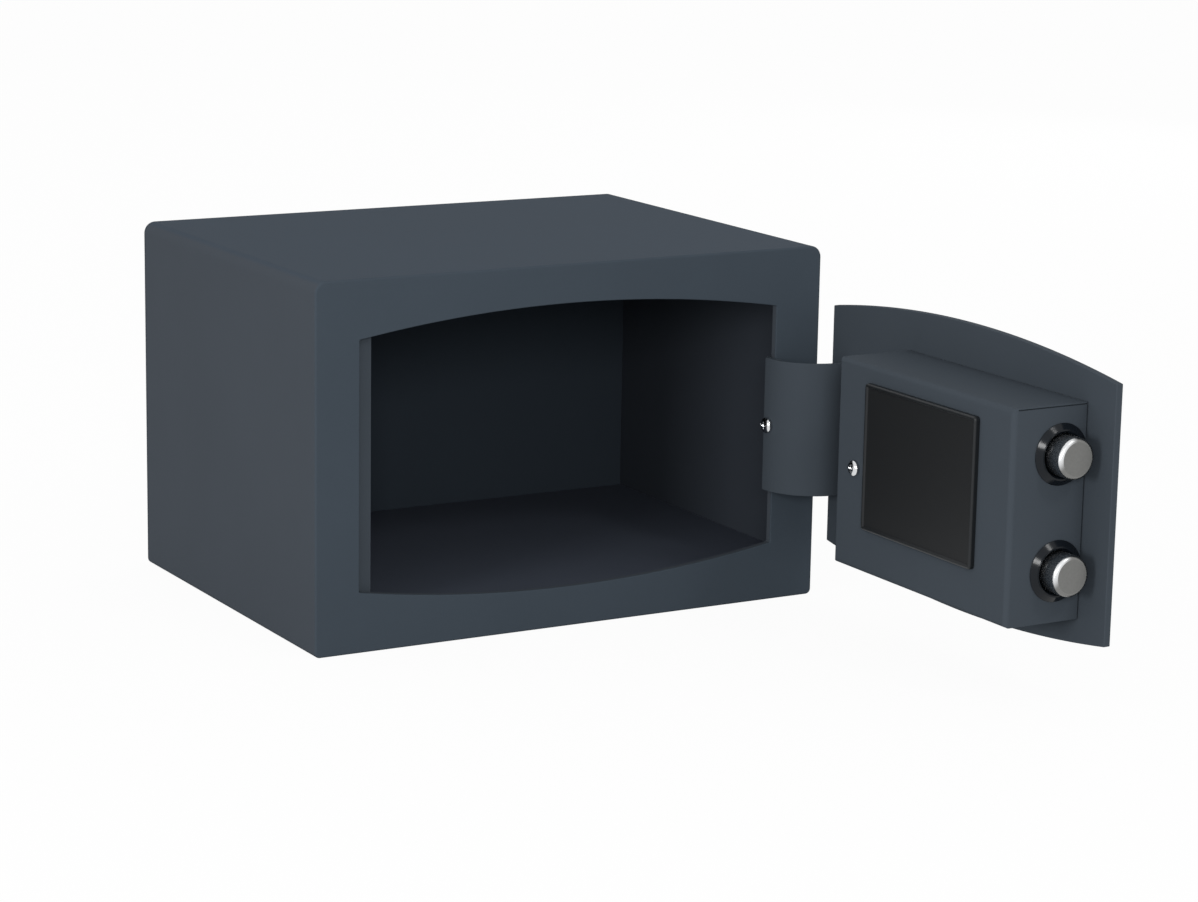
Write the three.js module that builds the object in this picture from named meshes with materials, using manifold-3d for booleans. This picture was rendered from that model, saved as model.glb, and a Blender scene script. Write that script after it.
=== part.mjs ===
// A small front-opening safe with an electronic lock, shown with its door open at a right angle.
// Lengths are in millimetres. X runs across the front, Y from the front to the back, Z upwards.
// The origin is in the middle of the underside.

import * as THREE from 'three';
import { mergeVertices } from 'three/addons/utils/BufferGeometryUtils.js';
import Module from 'manifold-3d';

const wasm = await Module();
wasm.setup();

// Clearances and shared steps
const seatGap = 0.3;
const runningGap = 0.3;
const overrun = 1;
const joinOverlap = 0.2;
const leastRadius = 0.2;
const roundSteps = 24;
const smallSteps = 16;
const archSteps = 12;
const bendSteps = 14;
const edgeSteps = 5;
const filletSteps = 3;
const keySteps = 2;

// Body shell
const bodyWidth = 310;
const bodyDepth = 230;
const bodyHeight = 200;
const wallThickness = 2;
const topEdgeRadius = 6.5;
const bottomEdgeRadius = 3;
const frontThickness = 4.5;
const backThickness = 2;

// Door opening: upright sides between two arches, with a narrower stile on the bolt side
const boltStileWidth = 25.5;
const hingeStileWidth = 28.5;
const openingSideBase = 33;
const openingHeadroom = 32;
const openingRise = 10.75;

// Raised floor and back lining
const liningThickness = 1.5;
const floorHeight = 20.3;
const backSpace = 14.8;

// Angle behind the bolt stile that the door closes against
const stopThickness = 2.5;
const stopReach = 8.9;
const stopFlange = 20;
const stopFootDrop = 6;
const stopHeadRise = 6;

// Hinge pin and its two brackets
const hingeInset = 5.1;
const pivotDepth = 14.1;
const pinRadius = 2.5;
const pinGap = 0.12;
const pinHeadRadius = 4;
const pinHeadHeight = 2;
const pinTail = 4;
const bracketThickness = 3;
const bracketRadius = 6.5;
const bracketGap = 0.5;
const clipWidth = 1.6;
const clipThickness = 0.8;
const clipMouthDegrees = 70;

// Door panel
const doorThickness = 4;
const doorSideGap = 2.4;
const doorArchGap = 0.7;
const doorChamfer = 1;

// Hinge strap on the door and the leaf under its end
const strapHeight = 75;
const strapRise = 1.1;
const strapThickness = 2;
const strapArcForward = 1;
const strapArcAside = 3.3;
const jambGap = 0.6;
const strapTail = 2.1;
const strapBendRadius = 4.5;
const strapFoot = 22;
const leafThickness = 1.8;
const leafStileGap = 1;
const leafTongueDegrees = 16;
const leafBendRadius = 2.5;
const leafShoulder = 9;
const leafEyeRise = 3;

// Pan head screws of the strap and the lock cover
const screwRadius = 2;
const screwHeadRadius = 4.3;
const screwHeadHeight = 2.9;
const screwHeadRim = 0.9;
const screwCrossWidth = 1;
const screwCrossSpan = 4.8;
const screwCrossDepth = 1.5;
const strapScrewDegrees = 94.3;
const coverScrewLength = 9;

// Lock cover on the inside of the door
const coverHeight = 112.2;
const coverDepth = 46.3;
const coverFreeInset = 21.4;
const coverDrop = 1.4;
const coverThickness = 1.5;
const coverBend = 3;
const coverScrewInset = 18.1;
const coverScrewDrop = 0.9;
const postRadius = 4.5;

// Battery lid, its opening and the tray behind it
const lidWidth = 98;
const lidHeight = 78.9;
const lidInset = 27.2;
const lidMargin = 29;
const lidRise = 7.8;
const lidBaseThickness = 2;
const lidRimWidth = 2.2;
const lidRimHeight = 0.9;
const lidCornerRadius = 2;
const lidSkirtInset = 4;
const lidSkirtThickness = 1.2;
const lidSkirtDepth = 1.6;
const batteryRadius = 7.1;
const batteryLength = 49.5;
const batteryNubRadius = 2.6;
const batteryNubLength = 1;
const batteryPitch = 15;
const batteryCount = 4;
const trayWall = 1.5;
const trayRimWidth = 5;
const trayRimThickness = 1.2;
const contactThickness = 0.6;
const contactWidth = 10;
const contactRoom = 3;
const contactTip = 2.4;
const contactTipWidth = 5;
const contactTipDepth = 1.2;

// Bolts, their bushings and the carrier that drives them
const boltRadius = 10.75;
const boltSpacing = 60;
const boltRise = 0.7;
const boltDepth = 16.1;
const boltStandOut = 11;
const boltChamfer = 2;
const boltLength = 56.4;
const tenonRadius = 6;
const tenonLength = 5;
const bushingFlangeRadius = 16;
const bushingFlangeThickness = 2.5;
const bushingRound = 0.8;
const bushingMouthRadius = 12.2;
const bushingMouthDepth = 1.6;
const bushingSleeveRadius = 12.6;
const bushingSleeveLength = 9;
const guideThickness = 4;
const guideInset = 13;
const guideMargin = 4;
const guideFoot = 12;
const boltThrow = 18;
const carrierDepth = 5;
const carrierThickness = 2.5;
const carrierLength = 62.5;
const carrierHeight = 46;
const carrierDrop = 34.3;
const carrierUprightDepth = 19;
const carrierUprightMargin = 11;
const studRadius = 3;
const studHeadRadius = 5;
const studHeadHeight = 1.5;
const studInset = 8;
const studEdge = 6;

// Knob, spindle and crank disc
const spindleAside = 88.7;
const spindleDrop = 14.3;
const spindleRadius = 4;
const crankRadius = 12.7;
const crankDegrees = 45;
const crankSlack = 0.5;
const crankPinRadius = 3;
const crankPinLength = 6;
const camRadius = 18;
const camThickness = 3;
const camStandOff = 0.4;
const bushRadius = 6.5;
const bushFlangeRadius = 8;
const bushFlangeThickness = 0.8;
const knobRadius = 20;
const knobBaseHeight = 6;
const knobGripHeight = 15;
const knobGripWidth = 9;
const knobGripLength = 35;
const knobSocketDepth = 8;
const knobEdge = 1;

// Solenoid that blocks the carrier, with its plunger and spring
const plungerInset = 65.7;
const plungerRadius = 3;
const plungerLift = 4.5;
const plungerTravel = 4;
const humpGap = 1;
const humpLength = 10;
const humpHeight = 4;
const solenoidWidth = 22;
const solenoidDepth = 12;
const solenoidHeight = 24;
const solenoidRise = 11;
const plungerHidden = 16;
const collarRadius = 4.6;
const collarHeight = 1;
const springWireRadius = 0.35;
const springRadius = 4;
const springTurns = 2.5;
const springTurnSteps = 10;
const springSides = 5;

// Circuit board on a mount with four pillars
const boardWidth = 34;
const boardHeight = 36;
const boardThickness = 1.6;
const boardMargin = 4.3;
const boardRise = 13.7;
const boardMountThickness = 1.3;
const boardPillarHeight = 4;
const boardPillarRadius = 2.5;
const boardPillarInset = 4;

// Keypad housing on the outside of the door
const housingWidth = 128;
const housingHeight = 100;
const housingThickness = 12;
const housingCorner = 8;
const housingChamfer = 1.5;
const housingWall = 2;
const housingSpindleInset = 31;
const housingDrop = 34;
const pocketWidth = 58;
const pocketInset = 64;
const pocketMargin = 7;
const boardSlack = 0.4;
const keypadBoardThickness = 1.6;
const keyWidth = 12;
const keyCorner = 2;
const keyProud = 2;
const keyFlange = 0.9;
const keyFlangeThickness = 1.2;
const keyStem = 0.6;
const keyTravel = 1;
const keyColumnPitch = 16;
const keyHeightShare = 0.667;
const keyHeadroomShare = 0.297;
const keyFootroomShare = 0.128;
const keyNames = ['key_1', 'key_2', 'key_3', 'key_4', 'key_5', 'key_6',
  'key_7', 'key_8', 'key_9', 'key_clear', 'key_0', 'key_enter'];
const keyColumns = 3;
const keyRows = 4;
const lensWidth = 14;
const lensHeight = 4;
const lensDrop = 9;
const lensProud = 0.4;

// Emergency lock above the knob
const cylinderRadius = 8;
const cylinderDepth = 22;
const cylinderFlange = 1.8;
const cylinderFlangeThickness = 1.4;
const plugRadius = 5.2;
const plugGap = 0.15;
const plugProud = 0.6;
const keySlotWidth = 1.6;
const keySlotLength = 7.6;
const keySlotDepth = 9;
const capRadius = 12;
const capHeight = 5;
const capWall = 1.4;
const capEdge = 1;

// Finishes
const powderCoat = { color: 0x434b54, roughness: 0.6, metalness: 0.2 };
const liningCoat = { color: 0x3a4149, roughness: 0.65, metalness: 0.2 };
const steel = { color: 0xb9bcc0, roughness: 0.35, metalness: 1 };
const zincPlate = { color: 0xa7abb0, roughness: 0.45, metalness: 0.9 };
const chrome = { color: 0xd8dadc, roughness: 0.12, metalness: 1 };
const brass = { color: 0xb5964f, roughness: 0.35, metalness: 1 };
const blackPlastic = { color: 0x16181a, roughness: 0.5, metalness: 0 };
const greyPlastic = { color: 0x33373b, roughness: 0.55, metalness: 0 };
const keyPlastic = { color: 0x8c9196, roughness: 0.5, metalness: 0 };
const cellWrap = { color: 0x2f5a3c, roughness: 0.4, metalness: 0.1 };
const boardGreen = { color: 0x1f5a35, roughness: 0.5, metalness: 0 };
const clearLens = { color: 0x7a1f1c, roughness: 0.15, metalness: 0 };

// Derived places of the body
const front = -bodyDepth / 2;
const back = bodyDepth / 2;
const frontInner = front + frontThickness;
const backInner = back - backThickness;
const wallInner = bodyWidth / 2 - wallThickness;
const openingRight = bodyWidth / 2 - hingeStileWidth;
const openingLeft = boltStileWidth - bodyWidth / 2;
const openingWidth = openingRight - openingLeft;
const openingCentre = (openingLeft + openingRight) / 2;
const openingSideLow = openingSideBase;
const openingSideHigh = bodyHeight - openingHeadroom;
const openingArcRadius = ((openingWidth / 2) ** 2 + openingRise ** 2) / (2 * openingRise);
const pivotX = wallInner - hingeInset;
const pivotY = front + pivotDepth;

// Derived places of the door, from the hinge pin's axis, with the door as it is when shut
const doorOuter = -pivotDepth;
const doorInner = doorOuter + doorThickness;
const doorHingeEdge = openingRight - doorSideGap - pivotX;
const doorWidth = openingWidth - 2 * doorSideGap;
const doorFreeEdge = doorHingeEdge - doorWidth;
const coverLeft = doorFreeEdge + coverFreeInset;
const coverRight = coverLeft + lidInset + lidWidth + lidMargin;
const coverFace = doorInner + coverDepth;
const coverCentreHeight = (openingSideLow + openingSideHigh) / 2 - coverDrop;
const coverBase = coverCentreHeight - coverHeight / 2;
const coverTop = coverBase + coverHeight;
const boltAxisDepth = doorInner + boltDepth;
const boltCentreHeight = coverCentreHeight + boltRise;
const boltHeights = [boltCentreHeight - boltSpacing / 2, boltCentreHeight + boltSpacing / 2];
const boltTip = coverLeft - seatGap - bushingFlangeThickness - boltStandOut;
const boltShoulder = boltTip + boltLength;
const carrierLeft = boltShoulder + seatGap;
const carrierFace = doorInner + carrierDepth;
const carrierBase = coverCentreHeight - carrierDrop;
const carrierTop = carrierBase + carrierHeight;
const spindleX = coverLeft + spindleAside;
const spindleHeight = coverCentreHeight - spindleDrop;
const crankAngle = THREE.MathUtils.degToRad(crankDegrees);
const plungerX = coverLeft + plungerInset;
const plungerDepth = carrierFace + carrierThickness / 2;
const plungerTip = carrierTop + plungerLift;
const solenoidBase = plungerTip + solenoidRise;
const lidCentre = coverLeft + lidInset + lidWidth / 2;
const lidCentreHeight = coverCentreHeight + lidRise;
const boardBase = coverCentreHeight + boardRise;
const housingRight = spindleX - housingSpindleInset + housingWidth;
const housingLeft = housingRight - housingWidth;
const housingBack = doorOuter - seatGap;
const housingFace = housingBack - housingThickness;
const housingBase = spindleHeight - housingDrop;
const housingTop = housingBase + housingHeight;
const pocketCentre = housingLeft + pocketInset + pocketWidth / 2;
const pocketBase = housingBase + pocketMargin;
const pocketTop = housingTop - pocketMargin;
const lensCentreHeight = pocketTop - lensDrop;
const pocketHeight = pocketTop - pocketBase;
const keyTopHeight = pocketTop - pocketHeight * keyHeadroomShare;
const keyBottomHeight = pocketBase + pocketHeight * keyFootroomShare;
const keyRowPitch = (keyTopHeight - keyBottomHeight) / (keyRows - 1);
const keyHeight = keyRowPitch * keyHeightShare;
const cylinderHeight = (spindleHeight + knobRadius + housingTop) / 2;

// Solids and cuts

function toSolid(geometry) {
  const bare = geometry.clone();
  bare.deleteAttribute('normal');
  bare.deleteAttribute('uv');
  const merged = mergeVertices(bare);
  const corners = merged.index.array;
  const kept = [];
  for (let i = 0; i < corners.length; i += 3) {
    const [a, b, c] = [corners[i], corners[i + 1], corners[i + 2]];
    if (a !== b && b !== c && c !== a) kept.push(a, b, c);
  }
  return new wasm.Manifold(new wasm.Mesh({
    numProp: 3,
    vertProperties: new Float32Array(merged.attributes.position.array),
    triVerts: new Uint32Array(kept),
  }));
}

function toGeometry(solid) {
  const mesh = solid.getMesh();
  const geometry = new THREE.BufferGeometry();
  geometry.setAttribute('position', new THREE.BufferAttribute(new Float32Array(mesh.vertProperties), 3));
  geometry.setIndex(new THREE.BufferAttribute(new Uint32Array(mesh.triVerts), 1));
  return geometry;
}

function cut(base, ...tools) {
  return toGeometry(tools.reduce((rest, tool) => rest.subtract(toSolid(tool)), toSolid(base)));
}

function join(base, ...others) {
  return toGeometry(others.reduce((whole, other) => whole.add(toSolid(other)), toSolid(base)));
}

function common(base, other) {
  return toGeometry(toSolid(base).intersect(toSolid(other)));
}

// Directions in which an outline is extruded or a profile is turned

const axisX = new THREE.Vector3(1, 0, 0);
const axisY = new THREE.Vector3(0, 1, 0);
const axisZ = new THREE.Vector3(0, 0, 1);

function prism(shape, length, steps = filletSteps) {
  return new THREE.ExtrudeGeometry(shape, { depth: length, bevelEnabled: false, curveSegments: steps });
}

// An outline in X and Z, made solid from one depth to another
function platePrism(shape, from, to, steps) {
  const turn = new THREE.Matrix4().makeBasis(axisX, axisZ, axisY.clone().negate());
  return prism(shape, to - from, steps).applyMatrix4(turn).translate(0, to, 0);
}

// An outline in Y and Z, made solid along X
function sidePrism(shape, from, to, steps) {
  const turn = new THREE.Matrix4().makeBasis(axisY, axisZ, axisX);
  return prism(shape, to - from, steps).applyMatrix4(turn).translate(from, 0, 0);
}

// An outline in X and Y, made solid upwards
function uprightPrism(shape, from, to, steps) {
  return prism(shape, to - from, steps).translate(0, 0, from);
}

// A plate with chamfered edges, its outline in X and Z
function chamferedPlate(shape, from, to, chamfer, steps) {
  const turn = new THREE.Matrix4().makeBasis(axisX, axisZ, axisY.clone().negate());
  return new THREE.ExtrudeGeometry(shape, {
    depth: to - from - 2 * chamfer,
    bevelEnabled: true,
    bevelThickness: chamfer,
    bevelSize: chamfer,
    bevelOffset: -chamfer,
    bevelSegments: 1,
    curveSegments: steps,
  }).applyMatrix4(turn).translate(0, to - chamfer, 0);
}

// A block between two corners
function block(x0, y0, z0, x1, y1, z1) {
  return new THREE.BoxGeometry(x1 - x0, y1 - y0, z1 - z0)
    .translate((x0 + x1) / 2, (y0 + y1) / 2, (z0 + z1) / 2);
}

// A turned piece: its profile is a list of [radius, distance along the axis]
function turned(profile, direction, steps = roundSteps) {
  const points = profile.map(([radius, along]) => new THREE.Vector2(radius, along));
  const spin = new THREE.Quaternion().setFromUnitVectors(axisY, direction);
  return new THREE.LatheGeometry(points, steps).applyQuaternion(spin);
}

function rod(radius, from, to, direction, steps) {
  return turned([[0, from], [radius, from], [radius, to], [0, to]], direction, steps);
}

function ring(inner, outer, from, to, direction, steps) {
  return turned([[inner, from], [outer, from], [outer, to], [inner, to], [inner, from]], direction, steps);
}

function addPiece(parent, name, geometry, finish, place = new THREE.Vector3()) {
  const mesh = new THREE.Mesh(geometry, new THREE.MeshStandardMaterial(finish));
  mesh.name = name;
  mesh.position.copy(place);
  parent.add(mesh);
  return mesh;
}

// Outlines

function roundedRectangle(x0, z0, x1, z1, lowRadius, highRadius = lowRadius) {
  const low = Math.max(lowRadius, leastRadius);
  const high = Math.max(highRadius, leastRadius);
  const quarter = Math.PI / 2;
  const shape = new THREE.Shape();
  shape.absarc(x1 - low, z0 + low, low, -quarter, 0, false);
  shape.absarc(x1 - high, z1 - high, high, 0, quarter, false);
  shape.absarc(x0 + high, z1 - high, high, quarter, Math.PI, false);
  shape.absarc(x0 + low, z0 + low, low, Math.PI, Math.PI + quarter, false);
  return shape;
}

function polygon(points) {
  return new THREE.Shape(points.map(([x, y]) => new THREE.Vector2(x, y)));
}

// Points on an arc, both ends included
function arcPoints(cx, cy, radius, from, to, steps) {
  const points = [];
  for (let i = 0; i <= steps; i += 1) {
    const angle = from + (to - from) * i / steps;
    points.push([cx + radius * Math.cos(angle), cy + radius * Math.sin(angle)]);
  }
  return points;
}

// The outline of a bent sheet, from the line along its middle
function bentSheet(middle, thickness) {
  const sides = [[], []];
  middle.forEach((point, i) => {
    const before = middle[Math.max(i - 1, 0)];
    const after = middle[Math.min(i + 1, middle.length - 1)];
    const arrive = i > 0 ? unit(before, point) : unit(point, after);
    const leave = i < middle.length - 1 ? unit(point, after) : arrive;
    const normal = [-(arrive[1] + leave[1]), arrive[0] + leave[0]];
    const spread = (thickness / 2) / (1 + arrive[0] * leave[0] + arrive[1] * leave[1]);
    sides[0].push([point[0] + normal[0] * spread, point[1] + normal[1] * spread]);
    sides[1].push([point[0] - normal[0] * spread, point[1] - normal[1] * spread]);
  });
  return polygon([...sides[0], ...sides[1].reverse()]);
}

function unit(from, to) {
  const length = Math.hypot(to[0] - from[0], to[1] - from[1]);
  return [(to[0] - from[0]) / length, (to[1] - from[1]) / length];
}

function bodyOutline(inset) {
  const half = bodyWidth / 2 - inset;
  return roundedRectangle(-half, inset, half, bodyHeight - inset,
    bottomEdgeRadius - inset, topEdgeRadius - inset);
}

// The opening's outline, drawn in from its edges, with its middle at x = centre
function barrelOutline(centre, sideInset, archInset) {
  const half = openingWidth / 2 - sideInset;
  const radius = openingArcRadius - archInset;
  const swing = Math.asin(half / radius);
  const upright = Math.PI / 2;
  const rise = openingArcRadius - openingRise;
  const shape = new THREE.Shape();
  shape.absarc(centre, openingSideHigh - rise, radius, upright - swing, upright + swing, false);
  shape.absarc(centre, openingSideLow + rise, radius, -upright - swing, -upright + swing, false);
  return shape;
}

// Body

function makeBody(parent) {
  const tube = bodyOutline(0);
  tube.holes.push(bodyOutline(wallThickness));
  addPiece(parent, 'body_wrap', platePrism(tube, frontInner, backInner, edgeSteps), powderCoat);

  const opening = platePrism(barrelOutline(openingCentre, 0, 0), front - overrun, frontInner + overrun,
    archSteps);
  const frame = cut(platePrism(bodyOutline(0), front, frontInner, edgeSteps), opening);
  addPiece(parent, 'front_frame', frame, powderCoat);
  addPiece(parent, 'back_panel', platePrism(bodyOutline(0), backInner, back, edgeSteps),
    powderCoat);
}

function makeLinings(parent) {
  const side = wallInner - seatGap;
  const half = liningThickness / 2;
  const liningFace = backInner - backSpace;
  const floorFront = frontInner + seatGap + half;
  const floorBack = liningFace - seatGap - half;
  const underside = wallThickness + seatGap;
  const floor = bentSheet([[floorFront, underside], [floorFront, floorHeight - half],
    [floorBack, floorHeight - half], [floorBack, underside]], liningThickness);
  const room = platePrism(bodyOutline(wallThickness + seatGap), front, back, edgeSteps);
  addPiece(parent, 'inner_floor', common(sidePrism(floor, -side, side), room), liningCoat);

  const low = wallThickness + seatGap + half;
  const high = bodyHeight - wallThickness - seatGap - half;
  const rear = backInner - seatGap;
  const panel = bentSheet([[rear, low], [liningFace + half, low],
    [liningFace + half, high], [rear, high]], liningThickness);
  addPiece(parent, 'inner_back', common(sidePrism(panel, -side, side), room), liningCoat);
}

function makeDoorStop(parent) {
  const half = stopThickness / 2;
  const wallSide = -wallInner + seatGap + half;
  const seat = frontInner + seatGap + half;
  const angle = bentSheet([[wallSide, frontInner + stopFlange], [wallSide, seat],
    [openingLeft + stopReach, seat]], stopThickness);
  const foot = openingSideLow - stopFootDrop;
  const head = openingSideHigh + stopHeadRise;
  addPiece(parent, 'door_stop', uprightPrism(angle, foot, head), powderCoat);
}

// Hinge

const strapCentre = bodyHeight / 2 + strapRise;
const strapBase = strapCentre - strapHeight / 2;
const strapTop = strapBase + strapHeight;

// A lug welded to the side wall, round at its free end
function makeHingeBracket(parent, name, low) {
  const quarter = Math.PI / 2;
  const edge = hingeInset - seatGap;
  const outline = polygon([[edge, -bracketRadius], [edge, bracketRadius],
    ...arcPoints(0, 0, bracketRadius, quarter, 3 * quarter, smallSteps / 2)]);
  const high = low + bracketThickness;
  const bore = rod(pinRadius + pinGap, low - overrun, high + overrun, axisZ, smallSteps);
  addPiece(parent, name, cut(uprightPrism(outline, low, high), bore), powderCoat,
    new THREE.Vector3(pivotX, pivotY, 0));
}

function makeHingePin(parent) {
  const headSeat = strapTop + bracketGap + bracketThickness + seatGap;
  const clipSeat = strapBase - bracketGap - bracketThickness - seatGap;
  const groove = clipSeat - clipThickness - pinGap;
  const grooveRadius = pinRadius - pinGap * 2;
  const pin = turned([[0, clipSeat - pinTail], [pinRadius, clipSeat - pinTail], [pinRadius, groove],
    [grooveRadius, groove], [grooveRadius, clipSeat], [pinRadius, clipSeat], [pinRadius, headSeat],
    [pinHeadRadius, headSeat], [pinHeadRadius, headSeat + pinHeadHeight], [0, headSeat + pinHeadHeight]],
  axisZ, smallSteps);
  const axis = new THREE.Vector3(pivotX, pivotY, 0);
  addPiece(parent, 'hinge_pin', pin, zincPlate, axis);

  const mouth = THREE.MathUtils.degToRad(clipMouthDegrees / 2);
  const middle = pinRadius + pinGap + clipWidth / 2;
  const wire = bentSheet(arcPoints(0, 0, middle, mouth, 2 * Math.PI - mouth, smallSteps), clipWidth);
  addPiece(parent, 'pin_clip', uprightPrism(wire, clipSeat - clipThickness, clipSeat), steel, axis);
}

// The arc of the strap, as the shut door carries it
const strapArcX = strapArcForward - pivotDepth;
const strapArcY = -strapArcAside;
const jambX = frontThickness - pivotDepth;
const jambY = pivotX - openingRight;
const strapInnerRadius = Math.hypot(strapArcForward, jambY - strapArcY)
  + jambGap + leafThickness + seatGap;
const strapOuterRadius = strapInnerRadius + strapThickness;

function makeHingeStrap(parent) {
  const middle = strapInnerRadius + strapThickness / 2;
  const footLevel = doorInner + seatGap + strapThickness / 2;
  const reach = middle + strapBendRadius;
  const turnAngle = Math.PI - Math.asin((footLevel - strapArcY + strapBendRadius) / reach);
  const bendX = strapArcX + reach * Math.cos(turnAngle);
  const bendY = strapArcY + reach * Math.sin(turnAngle);
  const quarter = Math.PI / 2;
  const line = [[strapArcX + strapTail, strapArcY + middle],
    ...arcPoints(strapArcX, strapArcY, middle, quarter, turnAngle, bendSteps),
    ...arcPoints(bendX, bendY, strapBendRadius, turnAngle - Math.PI, -quarter, filletSteps).slice(1),
    [bendX - strapFoot, footLevel]];
  const angle = THREE.MathUtils.degToRad(strapScrewDegrees);
  const outward = new THREE.Vector3(Math.cos(angle), Math.sin(angle), 0);
  const seat = new THREE.Vector3(strapArcX, strapArcY, strapCentre);
  const hole = rod(screwRadius + runningGap, strapInnerRadius - leafThickness - 2 * overrun,
    strapOuterRadius + overrun, outward, smallSteps).translate(seat.x, seat.y, seat.z);
  const strap = cut(uprightPrism(bentSheet(line, strapThickness), strapBase, strapTop), hole);
  addPiece(parent, 'hinge_strap', strap, powderCoat);
  makeHingeLeaf(parent, hole);

  const shank = strapThickness + leafThickness + 2 * seatGap;
  const screw = addPiece(parent, 'strap_screw', screwGeometry(shank), chrome,
    seat.addScaledVector(outward, strapOuterRadius + seatGap));
  screw.quaternion.setFromUnitVectors(axisY, outward);
}

function makeHingeLeaf(parent, screwHole) {
  const half = leafThickness / 2;
  const middle = strapInnerRadius - seatGap - half;
  const quarter = Math.PI / 2;
  const tongue = quarter + THREE.MathUtils.degToRad(leafTongueDegrees);
  const backX = jambX + leafStileGap + half;
  const bendX = backX - leafBendRadius;
  const bendY = strapArcY + middle - leafBendRadius;
  const eyeX = -(pinRadius + pinGap + half);
  const line = [...arcPoints(strapArcX, strapArcY, middle, tongue, quarter, filletSteps),
    ...arcPoints(bendX, bendY, leafBendRadius, quarter, 0, filletSteps),
    [backX, leafShoulder], [eyeX, leafEyeRise], [eyeX, 0]];
  const height = [strapBase, strapTop];
  const eye = rod(pinRadius + pinGap + leafThickness, ...height, axisZ, smallSteps);
  const bore = rod(pinRadius + pinGap, strapBase - overrun, strapTop + overrun, axisZ, smallSteps);
  const leaf = cut(join(uprightPrism(bentSheet(line, leafThickness), ...height), eye), bore, screwHole);
  addPiece(parent, 'hinge_leaf', leaf, powderCoat);
}

// A pan head screw: its head's underside is at the origin and its head points along +Y
function screwGeometry(shank) {
  const bulge = screwHeadHeight - screwHeadRim;
  const dome = arcPoints(0, 0, 1, 0, Math.PI / 2, filletSteps)
    .map(([across, up]) => [screwHeadRadius * across, screwHeadRim + bulge * up]);
  dome[dome.length - 1][0] = 0;
  const screw = turned([[0, -shank], [screwRadius, -shank], [screwRadius, 0], [screwHeadRadius, 0],
    ...dome], axisY, smallSteps);
  const half = screwCrossSpan / 2;
  const slot = screwCrossWidth / 2;
  const floor = screwHeadHeight - screwCrossDepth;
  const top = screwHeadHeight + overrun;
  const across = block(-half, floor, -slot, half, top, slot);
  const upright = block(-slot, floor, -half, slot, top, half);
  return cut(screw, across, upright);
}

// Door panel

function makeDoorPanel(parent) {
  const centre = doorHingeEdge - doorWidth / 2;
  const plate = chamferedPlate(barrelOutline(centre, doorSideGap, doorArchGap),
    doorOuter, doorInner, doorChamfer, archSteps);
  const from = doorOuter - overrun;
  const to = doorInner + overrun;
  const spindleHole = rod(bushRadius + runningGap, from, to, axisY).translate(spindleX, 0, spindleHeight);
  const cylinderHole = rod(cylinderRadius + runningGap, from, to, axisY)
    .translate(spindleX, 0, cylinderHeight);
  addPiece(parent, 'door_panel', cut(plate, spindleHole, cylinderHole), powderCoat);
}

// Lock cover and what fastens it

function coverBlock(inset, base) {
  const x0 = coverLeft + inset;
  const x1 = coverRight - inset;
  const z0 = coverBase + inset;
  const z1 = coverTop - inset;
  const face = coverFace - inset;
  const bend = coverBend - inset;
  const across = roundedTop(x0, base, x1, face, bend);
  const upright = new THREE.Shape(roundedTop(z0, base, z1, face, bend).getPoints(filletSteps)
    .map((point) => new THREE.Vector2(point.y, point.x)));
  return common(uprightPrism(across, z0, z1), sidePrism(upright, x0, x1));
}

function roundedTop(x0, y0, x1, y1, radius) {
  const bend = Math.max(radius, leastRadius);
  const quarter = Math.PI / 2;
  const shape = new THREE.Shape();
  shape.moveTo(x0, y0);
  shape.lineTo(x1, y0);
  shape.absarc(x1 - bend, y1 - bend, bend, 0, quarter, false);
  shape.absarc(x0 + bend, y1 - bend, bend, quarter, Math.PI, false);
  return shape;
}

const coverScrewX = coverRight - coverScrewInset;
const coverScrewHeight = coverCentreHeight - coverScrewDrop;

function makeCover(parent) {
  const foot = doorInner + seatGap;
  const inner = coverFace - coverThickness;
  const wall = [coverLeft - overrun, coverLeft + coverThickness + overrun];
  const sleeveHoles = boltHeights.map((height) => rod(bushingSleeveRadius + runningGap, ...wall, axisX)
    .translate(0, boltAxisDepth, height));
  const opening = platePrism(lidOutline(lidSkirtInset - runningGap), inner - overrun,
    coverFace + overrun);
  const screwHole = rod(screwRadius + runningGap, inner - overrun, coverFace + overrun, axisY, smallSteps)
    .translate(coverScrewX, 0, coverScrewHeight);
  const cover = cut(coverBlock(0, foot), coverBlock(coverThickness, foot - overrun),
    ...sleeveHoles, opening, screwHole);
  addPiece(parent, 'lock_cover', cover, powderCoat);

  const postTop = inner - seatGap;
  const bore = rod(screwRadius + runningGap, postTop - coverScrewLength, postTop + overrun, axisY,
    smallSteps);
  const post = cut(rod(postRadius, foot, postTop, axisY), bore);
  addPiece(parent, 'cover_post', post, zincPlate, new THREE.Vector3(coverScrewX, 0, coverScrewHeight));
  addPiece(parent, 'cover_screw', screwGeometry(coverScrewLength), chrome,
    new THREE.Vector3(coverScrewX, coverFace + seatGap, coverScrewHeight));
}

// Battery lid, tray, cells and contacts

function lidOutline(inset) {
  const halfWidth = lidWidth / 2 - inset;
  const halfHeight = lidHeight / 2 - inset;
  return roundedRectangle(lidCentre - halfWidth, lidCentreHeight - halfHeight,
    lidCentre + halfWidth, lidCentreHeight + halfHeight, lidCornerRadius);
}

function frameOutline(outerInset, width) {
  const outline = lidOutline(outerInset);
  outline.holes.push(lidOutline(outerInset + width));
  return outline;
}

function makeBatteryLid(parent) {
  const seat = coverFace + seatGap;
  const face = seat + lidBaseThickness;
  const rimTop = face + lidRimHeight;
  const plate = platePrism(lidOutline(0), seat, face);
  const rim = platePrism(frameOutline(0, lidRimWidth), face - joinOverlap, rimTop);
  const skirt = platePrism(frameOutline(lidSkirtInset, lidSkirtThickness),
    seat - lidSkirtDepth, seat + joinOverlap);
  addPiece(parent, 'battery_lid', join(plate, rim, skirt), blackPlastic);
}

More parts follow.
